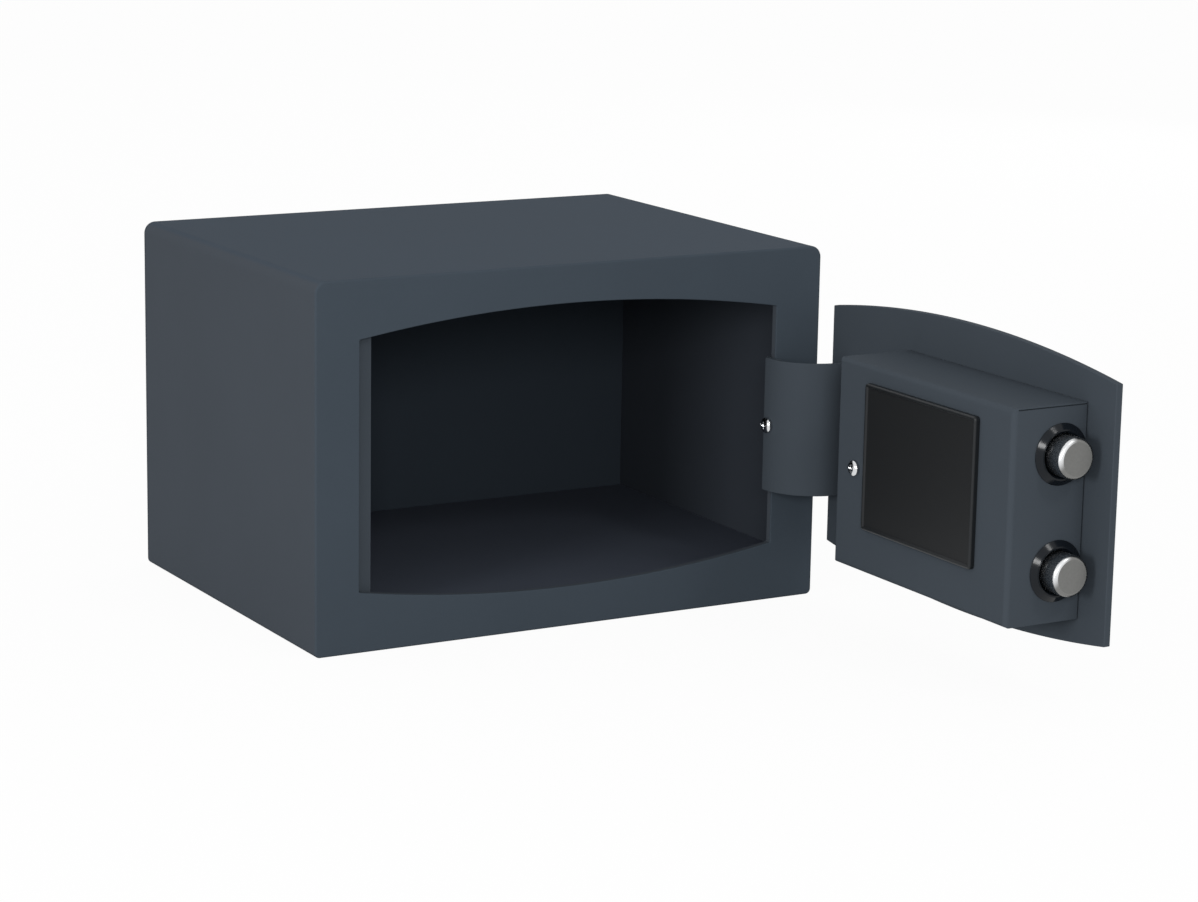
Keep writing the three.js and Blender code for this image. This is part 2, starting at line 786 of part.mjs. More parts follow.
function makeBatteries(parent) {
  const rimTop = coverFace - coverThickness - seatGap;
  const rimBase = rimTop - trayRimThickness;
  const halfLength = batteryLength / 2 + batteryNubLength + contactRoom;
  const halfRow = batteryPitch * batteryCount / 2 + runningGap;
  const cellDepth = rimTop - trayRimThickness - batteryRadius;
  const floor = cellDepth - batteryRadius - seatGap;
  const box = (grow, from, to) => block(
    lidCentre - halfLength - grow, from, lidCentreHeight - halfRow - grow,
    lidCentre + halfLength + grow, to, lidCentreHeight + halfRow + grow);
  const rim = box(trayWall + trayRimWidth, rimBase, rimTop);
  const tray = cut(join(box(trayWall, floor - trayWall, rimTop), rim), box(0, floor, rimTop + overrun));
  addPiece(parent, 'battery_tray', tray, greyPlastic);

  const half = batteryLength / 2;
  const cell = turned([[0, -half], [batteryRadius, -half], [batteryRadius, half], [batteryNubRadius, half],
    [batteryNubRadius, half + batteryNubLength], [0, half + batteryNubLength]], axisX, smallSteps);
  const firstRow = lidCentreHeight - batteryPitch * (batteryCount - 1) / 2;
  const rows = Array.from({ length: batteryCount }, (_, i) => firstRow + i * batteryPitch);
  rows.forEach((height, i) => {
    const place = new THREE.Vector3(lidCentre, cellDepth, height);
    const battery = addPiece(parent, `battery_${i + 1}`, cell.clone(), cellWrap, place);
    battery.rotation.z = i % 2 ? Math.PI : 0;
  });

  for (const [name, side] of [['battery_contact_left', -1], ['battery_contact_right', 1]]) {
    const wallFace = lidCentre + side * (halfLength - seatGap);
    const strip = sideBlock(wallFace, -side * contactThickness, floor + seatGap, rimBase,
      rows[0] - contactWidth / 2, rows[batteryCount - 1] + contactWidth / 2);
    const tips = rows.map((height) => sideBlock(wallFace, -side * contactTip,
      cellDepth - contactTipDepth / 2, cellDepth + contactTipDepth / 2,
      height - contactTipWidth / 2, height + contactTipWidth / 2));
    addPiece(parent, name, join(strip, ...tips), steel);
  }
}

// A block that reaches a signed length along X from one side
function sideBlock(x, reach, y0, y1, z0, z1) {
  return block(Math.min(x, x + reach), y0, z0, Math.max(x, x + reach), y1, z1);
}

// Bolts, bushings, guide and carrier

const towardsBoltSide = new THREE.Vector3(-1, 0, 0);

function makeBushings(parent) {
  const bore = boltRadius + runningGap;
  const edge = bushingFlangeThickness - bushingRound;
  const rounded = arcPoints(bushingFlangeRadius - bushingRound, edge, bushingRound, 0, Math.PI / 2,
    filletSteps);
  const mouth = bushingFlangeThickness - bushingMouthDepth;
  const profile = [[bore, -bushingSleeveLength], [bushingSleeveRadius, -bushingSleeveLength],
    [bushingSleeveRadius, 0], [bushingFlangeRadius, 0], ...rounded,
    [bushingMouthRadius, bushingFlangeThickness], [bore, mouth], [bore, -bushingSleeveLength]];
  ['bolt_bushing_lower', 'bolt_bushing_upper'].forEach((name, i) => {
    addPiece(parent, name, turned(profile, towardsBoltSide), blackPlastic,
      new THREE.Vector3(coverLeft - seatGap, boltAxisDepth, boltHeights[i]));
  });
}

function makeBoltGuide(parent) {
  const left = coverLeft + guideInset;
  const foot = doorInner + seatGap;
  const low = boltHeights[0] - boltRadius - guideMargin;
  const high = boltHeights[1] + boltRadius + guideMargin;
  const top = boltAxisDepth + boltRadius + guideMargin / 2;
  const half = guideThickness / 2;
  const angle = bentSheet([[left + half, top], [left + half, foot + half], [left + guideFoot, foot + half]],
    guideThickness);
  const holes = boltHeights.map((height) => rod(boltRadius + runningGap, left - overrun,
    left + guideThickness + overrun, axisX).translate(0, boltAxisDepth, height));
  addPiece(parent, 'bolt_guide', cut(uprightPrism(angle, low, high), ...holes), zincPlate);
}

function makeBolts(parent) {
  const profile = [[0, -tenonLength], [tenonRadius, -tenonLength], [tenonRadius, 0], [boltRadius, 0],
    [boltRadius, boltLength - boltChamfer], [boltRadius - boltChamfer, boltLength], [0, boltLength]];
  ['bolt_lower', 'bolt_upper'].forEach((name, i) => {
    addPiece(parent, name, turned(profile, towardsBoltSide), steel,
      new THREE.Vector3(boltShoulder, boltAxisDepth, boltHeights[i]));
  });
}

// A slot with round ends, cut through the carrier
function slotTool(x0, z0, x1, z1, radius) {
  const angle = Math.atan2(z1 - z0, x1 - x0);
  const quarter = Math.PI / 2;
  const points = [...arcPoints(x1, z1, radius, angle - quarter, angle + quarter, smallSteps / 2),
    ...arcPoints(x0, z0, radius, angle + quarter, angle + 3 * quarter, smallSteps / 2)];
  return platePrism(polygon(points), carrierFace - overrun, carrierFace + carrierThickness + overrun);
}

function makeCarrier(parent) {
  const right = carrierLeft + carrierLength;
  const humpStart = plungerX + plungerRadius + humpGap;
  const outline = polygon([[carrierLeft, carrierBase], [right, carrierBase], [right, carrierTop],
    [humpStart + humpLength, carrierTop], [humpStart + humpLength, carrierTop + humpHeight],
    [humpStart, carrierTop + humpHeight], [humpStart, carrierTop], [carrierLeft, carrierTop]]);
  const plate = platePrism(outline, carrierFace, carrierFace + carrierThickness);
  const uprightEnds = [boltHeights[0] - carrierUprightMargin, boltHeights[1] + carrierUprightMargin];
  const upright = block(carrierLeft, carrierFace, uprightEnds[0],
    carrierLeft + carrierThickness, carrierFace + carrierUprightDepth, uprightEnds[1]);
  const tenonHoles = boltHeights.map((height) => rod(tenonRadius + runningGap, carrierLeft - overrun,
    carrierLeft + carrierThickness + overrun, axisX).translate(0, boltAxisDepth, height));
  const studSlots = studPlaces().map(([x, z]) => slotTool(x, z, x + boltThrow, z, studRadius + crankSlack));
  const pinX = spindleX + crankRadius * Math.sin(crankAngle);
  const pinSlot = slotTool(pinX, spindleHeight + crankRadius * Math.cos(crankAngle),
    pinX, spindleHeight + crankRadius, crankPinRadius + crankSlack);
  const carrier = cut(join(plate, upright), ...tenonHoles, ...studSlots, pinSlot);
  addPiece(parent, 'bolt_carrier', carrier, zincPlate);
}

function studPlaces() {
  const x = carrierLeft + studInset;
  return [[x, carrierBase + studEdge], [x, carrierTop - studEdge]];
}

function makeStuds(parent) {
  const foot = doorInner + seatGap;
  const seat = carrierFace + carrierThickness + runningGap;
  const profile = [[0, foot], [studRadius, foot], [studRadius, seat], [studHeadRadius, seat],
    [studHeadRadius, seat + studHeadHeight], [0, seat + studHeadHeight]];
  ['guide_stud_lower', 'guide_stud_upper'].forEach((name, i) => {
    const [x, z] = studPlaces()[i];
    addPiece(parent, name, turned(profile, axisY, smallSteps), zincPlate, new THREE.Vector3(x, 0, z));
  });
}

// Knob, spindle, bush and crank disc

function makeSpindleBush(parent) {
  const bore = spindleRadius + plugGap;
  const flangeTop = doorInner + seatGap + bushFlangeThickness;
  const profile = [[bore, doorOuter], [bushRadius, doorOuter], [bushRadius, doorInner + seatGap],
    [bushFlangeRadius, doorInner + seatGap], [bushFlangeRadius, flangeTop], [bore, flangeTop],
    [bore, doorOuter]];
  addPiece(parent, 'spindle_bush', turned(profile, axisY), brass,
    new THREE.Vector3(spindleX, 0, spindleHeight));
}

function makeKnob(parent) {
  const outward = axisY.clone().negate();
  const seat = -(housingFace - seatGap);
  const camSeat = doorInner + seatGap + bushFlangeThickness + camStandOff;
  const rodEnd = camSeat + camThickness;
  const knobTop = seat + knobBaseHeight;
  const gripTop = knobTop + knobGripHeight;
  const skirt = turned([[0, seat], [knobRadius, seat], [knobRadius, knobTop - knobEdge],
    [knobRadius - knobEdge, knobTop], [0, knobTop]], outward);
  const grip = chamferedPlate(roundedRectangle(-knobGripWidth / 2, -knobGripLength / 2,
    knobGripWidth / 2, knobGripLength / 2, knobGripWidth / 2 - knobEdge), -gripTop, -knobTop + knobEdge,
  knobEdge, filletSteps);
  const socket = rod(spindleRadius + plugGap, seat - overrun, seat + knobSocketDepth, outward, smallSteps);
  const place = new THREE.Vector3(spindleX, 0, spindleHeight);
  addPiece(parent, 'knob', cut(join(skirt, grip), socket), blackPlastic, place);
  addPiece(parent, 'knob_spindle', rod(spindleRadius, -(seat + knobSocketDepth - seatGap), rodEnd, axisY,
    smallSteps), steel, place);

  const disc = ring(spindleRadius + plugGap, camRadius, camSeat, rodEnd, axisY);
  const pin = rod(crankPinRadius, rodEnd - camThickness / 2, rodEnd + crankPinLength, axisY, smallSteps)
    .translate(crankRadius * Math.sin(crankAngle), 0, crankRadius * Math.cos(crankAngle));
  addPiece(parent, 'cam_disc', join(disc, pin), zincPlate, place);
}

// Solenoid

function makeSolenoid(parent) {
  const halfWidth = solenoidWidth / 2;
  const top = solenoidBase + solenoidHeight;
  const nearSide = doorInner + seatGap;
  const body = cut(block(plungerX - halfWidth, nearSide, solenoidBase, plungerX + halfWidth,
    nearSide + solenoidDepth, top),
  rod(plungerRadius + runningGap, solenoidBase - overrun, solenoidBase + plungerHidden + runningGap,
    axisZ, smallSteps).translate(plungerX, plungerDepth, 0));
  addPiece(parent, 'solenoid_body', body, greyPlastic);

  const coil = new THREE.BufferGeometry();
  const low = plungerTip + plungerTravel + runningGap + collarHeight + seatGap + springWireRadius;
  const high = solenoidBase - seatGap - springWireRadius;
  const { points, corners } = helixTube(springRadius, springWireRadius, low, high);
  coil.setAttribute('position', new THREE.Float32BufferAttribute(points, 3));
  coil.setIndex(corners);
  addPiece(parent, 'solenoid_spring', coil, steel, new THREE.Vector3(plungerX, plungerDepth, 0));
}

// A round wire wound into an open coil, with flat ends
function helixTube(radius, wire, low, high) {
  const rings = springTurns * springTurnSteps;
  const points = [];
  const corners = [];
  for (let i = 0; i <= rings; i += 1) {
    const turn = 2 * Math.PI * i / springTurnSteps;
    const height = low + (high - low) * i / rings;
    for (let j = 0; j < springSides; j += 1) {
      const roll = 2 * Math.PI * j / springSides;
      const out = radius + wire * Math.cos(roll);
      points.push(out * Math.cos(turn), out * Math.sin(turn), height + wire * Math.sin(roll));
      const next = (j + 1) % springSides;
      const here = i * springSides;
      if (i < rings) {
        corners.push(here + j, here + springSides + j, here + next);
        corners.push(here + next, here + springSides + j, here + springSides + next);
      }
    }
  }
  for (let j = 1; j < springSides - 1; j += 1) {
    const last = rings * springSides;
    corners.push(0, j, j + 1);
    corners.push(last, last + j + 1, last + j);
  }
  return { points, corners };
}

function makePlunger(parent) {
  const collar = plungerTip + plungerTravel + runningGap;
  const profile = [[0, plungerTip], [plungerRadius, plungerTip], [plungerRadius, collar],
    [collarRadius, collar], [collarRadius, collar + collarHeight], [plungerRadius, collar + collarHeight],
    [plungerRadius, solenoidBase + plungerHidden], [0, solenoidBase + plungerHidden]];
  addPiece(parent, 'solenoid_plunger', turned(profile, axisZ, smallSteps), steel,
    new THREE.Vector3(plungerX, plungerDepth, 0));
}

// Circuit board

function makeCircuitBoard(parent) {
  const right = coverRight - boardMargin;
  const left = right - boardWidth;
  const top = boardBase + boardHeight;
  const foot = doorInner + seatGap;
  const pillarTop = foot + boardPillarHeight;
  const face = pillarTop + seatGap;
  const board = block(left, face, boardBase, right, face + boardThickness, top);
  addPiece(parent, 'circuit_board', board, boardGreen);
  const pillars = [];
  for (const x of [left + boardPillarInset, right - boardPillarInset]) {
    for (const z of [boardBase + boardPillarInset, top - boardPillarInset]) {
      pillars.push(rod(boardPillarRadius, foot, pillarTop, axisY, smallSteps).translate(x, 0, z));
    }
  }
  const base = block(left, foot, boardBase, right, foot + boardMountThickness, top);
  addPiece(parent, 'board_mount', join(base, ...pillars), greyPlastic);
}

// Keypad

function keyPlaces() {
  const firstX = pocketCentre - keyColumnPitch * (keyColumns - 1) / 2;
  return keyNames.map((name, i) => ({
    name,
    x: firstX + keyColumnPitch * (i % keyColumns),
    z: keyTopHeight - keyRowPitch * Math.floor(i / keyColumns),
  }));
}

function keyOutline(place, grow) {
  const halfWidth = keyWidth / 2 + grow;
  const halfHeight = keyHeight / 2 + grow;
  return roundedRectangle(place.x - halfWidth, place.z - halfHeight,
    place.x + halfWidth, place.z + halfHeight, keyCorner);
}

function lensOutline(grow) {
  const halfWidth = lensWidth / 2 + grow;
  const halfHeight = lensHeight / 2 + grow;
  return roundedRectangle(pocketCentre - halfWidth, lensCentreHeight - halfHeight,
    pocketCentre + halfWidth, lensCentreHeight + halfHeight, halfHeight);
}

function makeHousing(parent) {
  const wallBack = housingFace + housingWall;
  const through = [housingFace - overrun, housingBack + overrun];
  const shell = chamferedPlate(roundedRectangle(housingLeft, housingBase, housingRight,
    housingTop, housingCorner), housingFace, housingBack, housingChamfer, filletSteps);
  const pocket = block(pocketCentre - pocketWidth / 2, wallBack, pocketBase, pocketCentre + pocketWidth / 2,
    housingBack + overrun, pocketTop);
  const holes = keyPlaces().map((place) => platePrism(keyOutline(place, runningGap), ...through, keySteps));
  const lensHole = platePrism(lensOutline(runningGap), ...through);
  const spindleHole = rod(spindleRadius + 2 * runningGap, ...through, axisY)
    .translate(spindleX, 0, spindleHeight);
  const cylinderHole = rod(cylinderRadius + runningGap, ...through, axisY)
    .translate(spindleX, 0, cylinderHeight);
  addPiece(parent, 'keypad_housing', cut(shell, pocket, ...holes, lensHole, spindleHole, cylinderHole),
    blackPlastic);

  const lensFlange = [wallBack + seatGap, wallBack + seatGap + keyFlangeThickness];
  const lens = join(platePrism(lensOutline(0), housingFace - lensProud, lensFlange[1]),
    platePrism(lensOutline(keyFlange), ...lensFlange));
  addPiece(parent, 'status_lens', lens, clearLens);

  const boardFace = wallBack + seatGap + keyFlangeThickness + keyStem + keyTravel + runningGap;
  const halfBoard = pocketWidth / 2 - boardSlack;
  const board = block(pocketCentre - halfBoard, boardFace, pocketBase + boardSlack,
    pocketCentre + halfBoard, boardFace + keypadBoardThickness, pocketTop - boardSlack);
  addPiece(parent, 'keypad_board', board, boardGreen);
}

function makeKeys(parent) {
  const flangeFace = housingFace + housingWall + seatGap;
  for (const place of keyPlaces()) {
    const cap = chamferedPlate(keyOutline(place, 0), housingFace - keyProud,
      flangeFace + keyFlangeThickness / 2, keyStem / 2, keySteps);
    const flange = platePrism(keyOutline(place, keyFlange), flangeFace, flangeFace + keyFlangeThickness,
      keySteps);
    const stem = platePrism(keyOutline(place, -keyCorner), flangeFace + keyFlangeThickness / 2,
      flangeFace + keyFlangeThickness + keyStem, keySteps);
    addPiece(parent, place.name, join(cap, flange, stem), keyPlastic);
  }
}

// Emergency lock

function makeEmergencyLock(parent) {
  const outward = axisY.clone().negate();
  const seat = -(housingFace - seatGap);
  const place = new THREE.Vector3(spindleX, 0, cylinderHeight);
  const boreRadius = plugRadius + plugGap;
  const end = seat + cylinderFlangeThickness;
  const inside = seat - seatGap - housingThickness - doorThickness - cylinderDepth;
  const barrel = turned([[boreRadius, inside], [cylinderRadius, inside], [cylinderRadius, seat],
    [cylinderRadius + cylinderFlange, seat], [cylinderRadius + cylinderFlange, end], [boreRadius, end],
    [boreRadius, inside]], outward);
  addPiece(parent, 'key_cylinder', barrel, chrome, place);

  const plugFace = end + plugProud;
  const plug = rod(plugRadius, inside - overrun, plugFace, outward);
  const slot = block(-keySlotWidth / 2, -(plugFace + overrun), -keySlotLength / 2,
    keySlotWidth / 2, -(plugFace - keySlotDepth), keySlotLength / 2);
  addPiece(parent, 'key_plug', cut(plug, slot), brass, place);

  const capInner = capRadius - capWall;
  const capTop = seat + capHeight;
  const cap = turned([[capInner, seat], [capRadius, seat], [capRadius, capTop - capEdge],
    [capRadius - capEdge, capTop], [0, capTop], [0, capTop - capWall], [capInner, capTop - capWall],
    [capInner, seat]], outward);
  addPiece(parent, 'key_cap', cap, blackPlastic, place);
}

// Assembly

const safe = new THREE.Group();
makeBody(safe);
makeLinings(safe);
makeDoorStop(safe);
makeHingeBracket(safe, 'hinge_bracket_upper', strapTop + bracketGap);
makeHingeBracket(safe, 'hinge_bracket_lower', strapBase - bracketGap - bracketThickness);
makeHingePin(safe);

const door = new THREE.Group();
door.position.set(pivotX, pivotY, 0);
door.rotation.z = Math.PI / 2;
safe.add(door);
makeDoorPanel(door);
makeHingeStrap(door);
makeCover(door);
makeBatteryLid(door);
makeBatteries(door);
makeBushings(door);
makeBoltGuide(door);
makeBolts(door);
makeCarrier(door);
makeStuds(door);
makeSpindleBush(door);
makeKnob(door);
makeSolenoid(door);
makePlunger(door);
makeCircuitBoard(door);
makeHousing(door);
makeKeys(door);
makeEmergencyLock(door);

export default safe;
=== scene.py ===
import math

import bmesh
import bpy
from mathutils import Matrix, Vector


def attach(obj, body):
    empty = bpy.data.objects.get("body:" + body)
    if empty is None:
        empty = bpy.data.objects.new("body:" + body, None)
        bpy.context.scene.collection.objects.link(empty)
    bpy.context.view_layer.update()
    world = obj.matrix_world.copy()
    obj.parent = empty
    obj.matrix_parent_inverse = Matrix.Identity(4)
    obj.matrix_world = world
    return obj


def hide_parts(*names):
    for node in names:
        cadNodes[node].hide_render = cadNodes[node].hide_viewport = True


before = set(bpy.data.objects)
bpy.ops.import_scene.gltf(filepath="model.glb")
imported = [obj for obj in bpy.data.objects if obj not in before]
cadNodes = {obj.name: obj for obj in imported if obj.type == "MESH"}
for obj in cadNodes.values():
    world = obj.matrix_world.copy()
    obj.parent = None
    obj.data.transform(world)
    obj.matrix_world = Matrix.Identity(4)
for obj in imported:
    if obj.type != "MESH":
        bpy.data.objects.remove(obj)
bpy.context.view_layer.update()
print("frame loaded:", len(cadNodes), "nodes")

# Sizes are in millimetres and angles in degrees, unless a note says otherwise. Door pieces are
# given as when the door is shut: x and y from the hinge pin's axis, x towards the hinge side and
# y into the body, and z up from the body's underside.
mm = 0.001
hinge = {"x": 147.9, "y": -100.9, "openTurn": 90}
doorPlace = (Matrix.Translation((hinge["x"] * mm, hinge["y"] * mm, 0))
             @ Matrix.Rotation(math.radians(hinge["openTurn"]), 4, "Z"))


# Selecting and shaping. The limits near, apart and weld are in metres. A round that is a pair
# gives its radius and its number of segments. A cutting tool reaches past what it cuts.

limits = {"along": 0.999, "facing": 0.99, "near": 1e-5, "apart": 1e-4, "weld": 1e-6,
          "crease": 35, "turnedCrease": 40, "smooth": 32, "flatWeight": 100}
past = 1


def deselect():
    if bpy.context.object and bpy.context.object.mode != "OBJECT":
        bpy.ops.object.mode_set(mode="OBJECT")
    bpy.ops.object.select_all(action="DESELECT")


def choose(piece):
    deselect()
    piece.select_set(True)
    bpy.context.view_layer.objects.active = piece


def edit(piece):
    choose(piece)
    bpy.ops.object.mode_set(mode="EDIT")


def leave(piece):
    bpy.ops.object.mode_set(mode="OBJECT")
    return piece


def pick(kind, test):
    # Selects the edited piece's edges or faces that pass the test
    bpy.ops.mesh.select_mode(type=kind)
    bpy.ops.mesh.select_all(action="DESELECT")
    shape = bmesh.from_edit_mesh(bpy.context.edit_object.data)
    for part in {"EDGE": shape.edges, "FACE": shape.faces}[kind]:
        if test(part):
            part.select_set(True)
    bmesh.update_edit_mesh(bpy.context.edit_object.data)


def runsAlong(edge, axis):
    reach = edge.verts[1].co - edge.verts[0].co
    return abs(reach[axis]) > limits["along"] * reach.length


def edgeAt(edge, axis, level):
    return all(abs(point.co[axis] - level * mm) < limits["near"] for point in edge.verts)


def frontToBack(edge):
    return runsAlong(edge, 1)


def atDepth(level):
    return lambda edge: edgeAt(edge, 1, level)


def frontToBackAt(height):
    return lambda edge: runsAlong(edge, 1) and edgeAt(edge, 2, height)


def faceAtDepth(level, sign):
    def test(face):
        onLevel = abs(face.calc_center_median()[1] - level * mm) < limits["near"]
        return onLevel and face.normal[1] * sign > limits["facing"]
    return test


def roundEdges(test, radius, segments):
    pick("EDGE", test)
    bpy.ops.mesh.bevel(offset=radius * mm, segments=segments, affect="EDGES", offset_type="OFFSET")


def rounded(piece, *rounds):
    # Each round is the test for its edges, its radius and its number of segments
    edit(piece)
    for test, radius, segments in rounds:
        roundEdges(test, radius, segments)
    return leave(piece)


def pickAll():
    bpy.ops.mesh.select_all(action="SELECT")


def block(name, low, high):
    deselect()
    middle = [(a + b) / 2 * mm for a, b in zip(low, high)]
    size = [(b - a) * mm for a, b in zip(low, high)]
    bpy.ops.mesh.primitive_cube_add(size=1, location=middle, scale=size)
    piece = bpy.context.object
    piece.name = name
    bpy.ops.object.transform_apply()
    return piece


def slab(name, x, z, halfWidth, halfHeight, front, back):
    return block(name, (x - halfWidth, front, z - halfHeight),
                 (x + halfWidth, back, z + halfHeight))


def movedBy(shift):
    return Matrix.Translation(Vector(shift) * mm)


def moveTo(piece, matrix):
    piece.matrix_world = matrix @ piece.matrix_world
    choose(piece)
    bpy.ops.object.transform_apply()
    return piece


def copyOf(piece, name, shift):
    deselect()
    again = piece.copy()
    again.data = piece.data.copy()
    again.name = name
    bpy.context.scene.collection.objects.link(again)
    return moveTo(again, movedBy(shift))


def applied(piece, kind, **settings):
    # Adds a modifier and applies it at once
    choose(piece)
    bpy.ops.object.modifier_add(type=kind)
    made = piece.modifiers[-1]
    for key, value in settings.items():
        setattr(made, key, value)
    bpy.ops.object.modifier_apply(modifier=made.name)
    return piece


def combine(piece, tool, operation):
    applied(piece, "BOOLEAN", operation=operation, solver="EXACT", object=tool)
    bpy.data.objects.remove(tool)


def carve(piece, *tools):
    for tool in tools:
        combine(piece, tool, "DIFFERENCE")
    return piece


def soften(piece, radius, segments=2, limit=limits["crease"]):
    applied(piece, "BEVEL", width=radius * mm, segments=segments, limit_method="ANGLE",
            angle_limit=math.radians(limit), miter_outer="MITER_ARC", loop_slide=False)
    bpy.ops.object.shade_smooth_by_angle(angle=math.radians(limits["smooth"]))
    return piece


def firstPoint(name, place):
    # A piece that is one point so far, ready for extrude and spin
    deselect()
    bpy.ops.mesh.primitive_plane_add(size=mm)
    piece = bpy.context.object
    piece.name = name
    bpy.ops.object.mode_set(mode="EDIT")
    bpy.ops.mesh.select_mode(type="VERT")
    pickAll()
    bpy.ops.mesh.merge(type="CENTER")
    bpy.ops.transform.translate(value=Vector(place) * mm)
    return piece


def drawTo(step):
    bpy.ops.mesh.extrude_region_move(TRANSFORM_OT_translate={"value": Vector(step) * mm})


def spin(steps, angle, centre, axis):
    # The angle is in radians
    bpy.ops.mesh.spin(steps=steps, angle=angle, center=Vector(centre) * mm, axis=axis)


def closeSkin():
    pickAll()
    bpy.ops.mesh.remove_doubles(threshold=limits["weld"])
    bpy.ops.mesh.normals_make_consistent(inside=False)


def turnedPiece(name, profile, direction, place, steps):
    # The profile is a list of (radius, distance along the axis); it is spun round that axis
    radius, along = profile[0]
    piece = firstPoint(name, (radius, 0, along))
    for nextRadius, nextAlong in profile[1:]:
        drawTo((nextRadius - radius, 0, nextAlong - along))
        radius, along = nextRadius, nextAlong
    pickAll()
    spin(steps, 2 * math.pi, (0, 0, 0), (0, 0, 1))
    closeSkin()
    leave(piece)
    turn = Vector((0, 0, 1)).rotation_difference(Vector(direction)).to_matrix().to_4x4()
    return moveTo(piece, movedBy(place) @ turn)


def easedRim(radius, end, edge, step):
    # A turned piece's rounded rim, from its side to its end, with a point at every step
    angles = [math.radians(angle) for angle in range(0, 90 + step, step)]
    return [(radius - edge * (1 - math.cos(a)), end - edge * (1 - math.sin(a))) for a in angles]


def hole(radius, place, direction, length, steps=64):
    half = length / 2
    return turnedPiece("hole", [(0, -half), (radius, -half), (radius, half), (0, half)],
                       direction, place, steps)


def barrel(name, half, arc, centre, low, high, steps):
    # A plate whose top and bottom are arcs: half its width, the arcs' radius and their centres
    swing = math.asin(half / arc["radius"])
    rise = arc["radius"] * math.cos(swing)
    piece = firstPoint(name, (centre + half, low, arc["topCentre"] + rise))
    spin(steps, 2 * swing, (centre, low, arc["topCentre"]), (0, 1, 0))
    drawTo((0, 0, -(arc["topCentre"] - arc["bottomCentre"] + 2 * rise)))
    spin(steps, 2 * swing, (centre, low, arc["bottomCentre"]), (0, 1, 0))
    pickAll()
    bpy.ops.mesh.remove_doubles(threshold=limits["weld"])
    bpy.ops.mesh.edge_face_add()
    pickAll()
    drawTo((0, high - low, 0))
    closeSkin()
    return leave(piece)


# Finishes. A noise is given as its scale, detail, roughness and stretch; a spread is how much
# darker and lighter a colour gets; a relief is the height of the bumps in metres.

class Wire:
    # A socket in a material, with arithmetic that adds Math nodes
    def __init__(self, tree, socket=None):
        self.tree = tree
        self.socket = socket

    def node(self, kind, values=None, output=0, **settings):
        made = self.tree.nodes.new(kind)
        for key, value in settings.items():
            setattr(made, key, value)
        for key, value in (values or {}).items():
            if isinstance(value, Wire):
                self.tree.links.new(value.socket, made.inputs[key])
            else:
                made.inputs[key].default_value = value
        return Wire(self.tree, made.outputs[output])

    def maths(self, operation, *values):
        return self.node("ShaderNodeMath", dict(enumerate(values)), operation=operation)

    def __add__(self, other):
        return self.maths("ADD", self, other)

    def __sub__(self, other):
        return self.maths("SUBTRACT", self, other)

    def __rsub__(self, other):
        return self.maths("SUBTRACT", other, self)

    def __mul__(self, other):
        return self.maths("MULTIPLY", self, other)

    def __pow__(self, other):
        return self.maths("POWER", self, other)

    def __abs__(self):
        return self.maths("ABSOLUTE", self)

    def over(self, level, blur):
        # 0 below the level and 1 above it, with a soft step
        ends = {"Value": self, "From Min": (level - blur) * mm, "From Max": (level + blur) * mm}
        return self.node("ShaderNodeMapRange", ends, interpolation_type="SMOOTHSTEP")

    def part(self, axis):
        return self.node("ShaderNodeSeparateXYZ", {"Vector": self}, output=axis)

    def noise(self, scale, detail=2, roughness=0.5, stretch=(1, 1, 1)):
        spread = self.node("ShaderNodeMapping", {"Vector": self, "Scale": stretch})
        return self.node("ShaderNodeTexNoise", {"Vector": spread, "Scale": scale,
                         "Detail": detail, "Roughness": roughness}, output="Fac")

    def sine(self):
        return self.maths("SINE", self)

    def larger(self, other):
        return self.maths("MAXIMUM", self, other)


def mixColours(factor, low, high):
    # A Mix node takes its two colours at inputs 6 and 7 and gives its colour at output 2
    return factor.node("ShaderNodeMix", {0: factor, 6: low, 7: high}, output=2,
                       data_type="RGBA")


def shade(colour, factor=1):
    return tuple(min(1, channel * factor) for channel in colour) + (1,)


def varied(factor, colour, spread):
    # The colour from darker to lighter, as the factor goes from 0 to 1
    darker, lighter = spread
    return mixColours(factor, shade(colour, darker), shade(colour, lighter))


def startFinish(name, **settings):
    finish = bpy.data.materials.new(name)
    finish.use_nodes = True
    tree = finish.node_tree
    for key, value in settings.items():
        tree.nodes["Principled BSDF"].inputs[key.replace("_", " ")].default_value = value
    return finish, Wire(tree).node("ShaderNodeTexCoord", output="Object")


def endFinish(finish, look, bumps, relief=None, **wires):
    # Feeds the shader's inputs, its normal from the bumps
    tree = finish.node_tree
    values = {"Height": bumps, "Strength": look["strength"], "Distance": relief or look["relief"]}
    wires["Normal"] = bumps.node("ShaderNodeBump", values, output="Normal")
    inputs = tree.nodes["Principled BSDF"].inputs
    for key, wire in wires.items():
        tree.links.new(wire.socket, inputs[key.replace("_", " ")])
    return finish


# One coat in lit and shaded copies: its tones for the body's sides, top, front and inside, the
# door, the back lining and the floor lining are painted light and shade for the light on those
# faces
coat = {"front": (0.0535, 0.0685, 0.0855), "side": (0.062, 0.0725, 0.0865),
        "top": (0.056, 0.0715, 0.0915), "door": (0.057, 0.069, 0.083),
        "lining": (0.036, 0.046, 0.059), "floor": (0.061, 0.071, 0.093),
        "inside": (0.042, 0.049, 0.061), "gloss": 0.006, "rough": 0.6, "liningRough": 0.08,
        "clouds": (9, 4, 0.6), "grain": (1500, 2), "peel": (420, 3), "cloudShare": 0.7,
        "spread": (0.88, 1.12), "cloudRough": 0.1, "grainRough": 0.06, "meanRough": 0.08,
        "peelShare": 0.6, "strength": 0.35, "relief": 0.00016}
paintedLightBounds = {"side": 147, "middle": 100, "half": 92, "reach": 7, "front": -110.9, "face": -114.2,
        "top": 198.6, "blur": 0.2, "faceBlur": 0.6, "topBlur": 1}


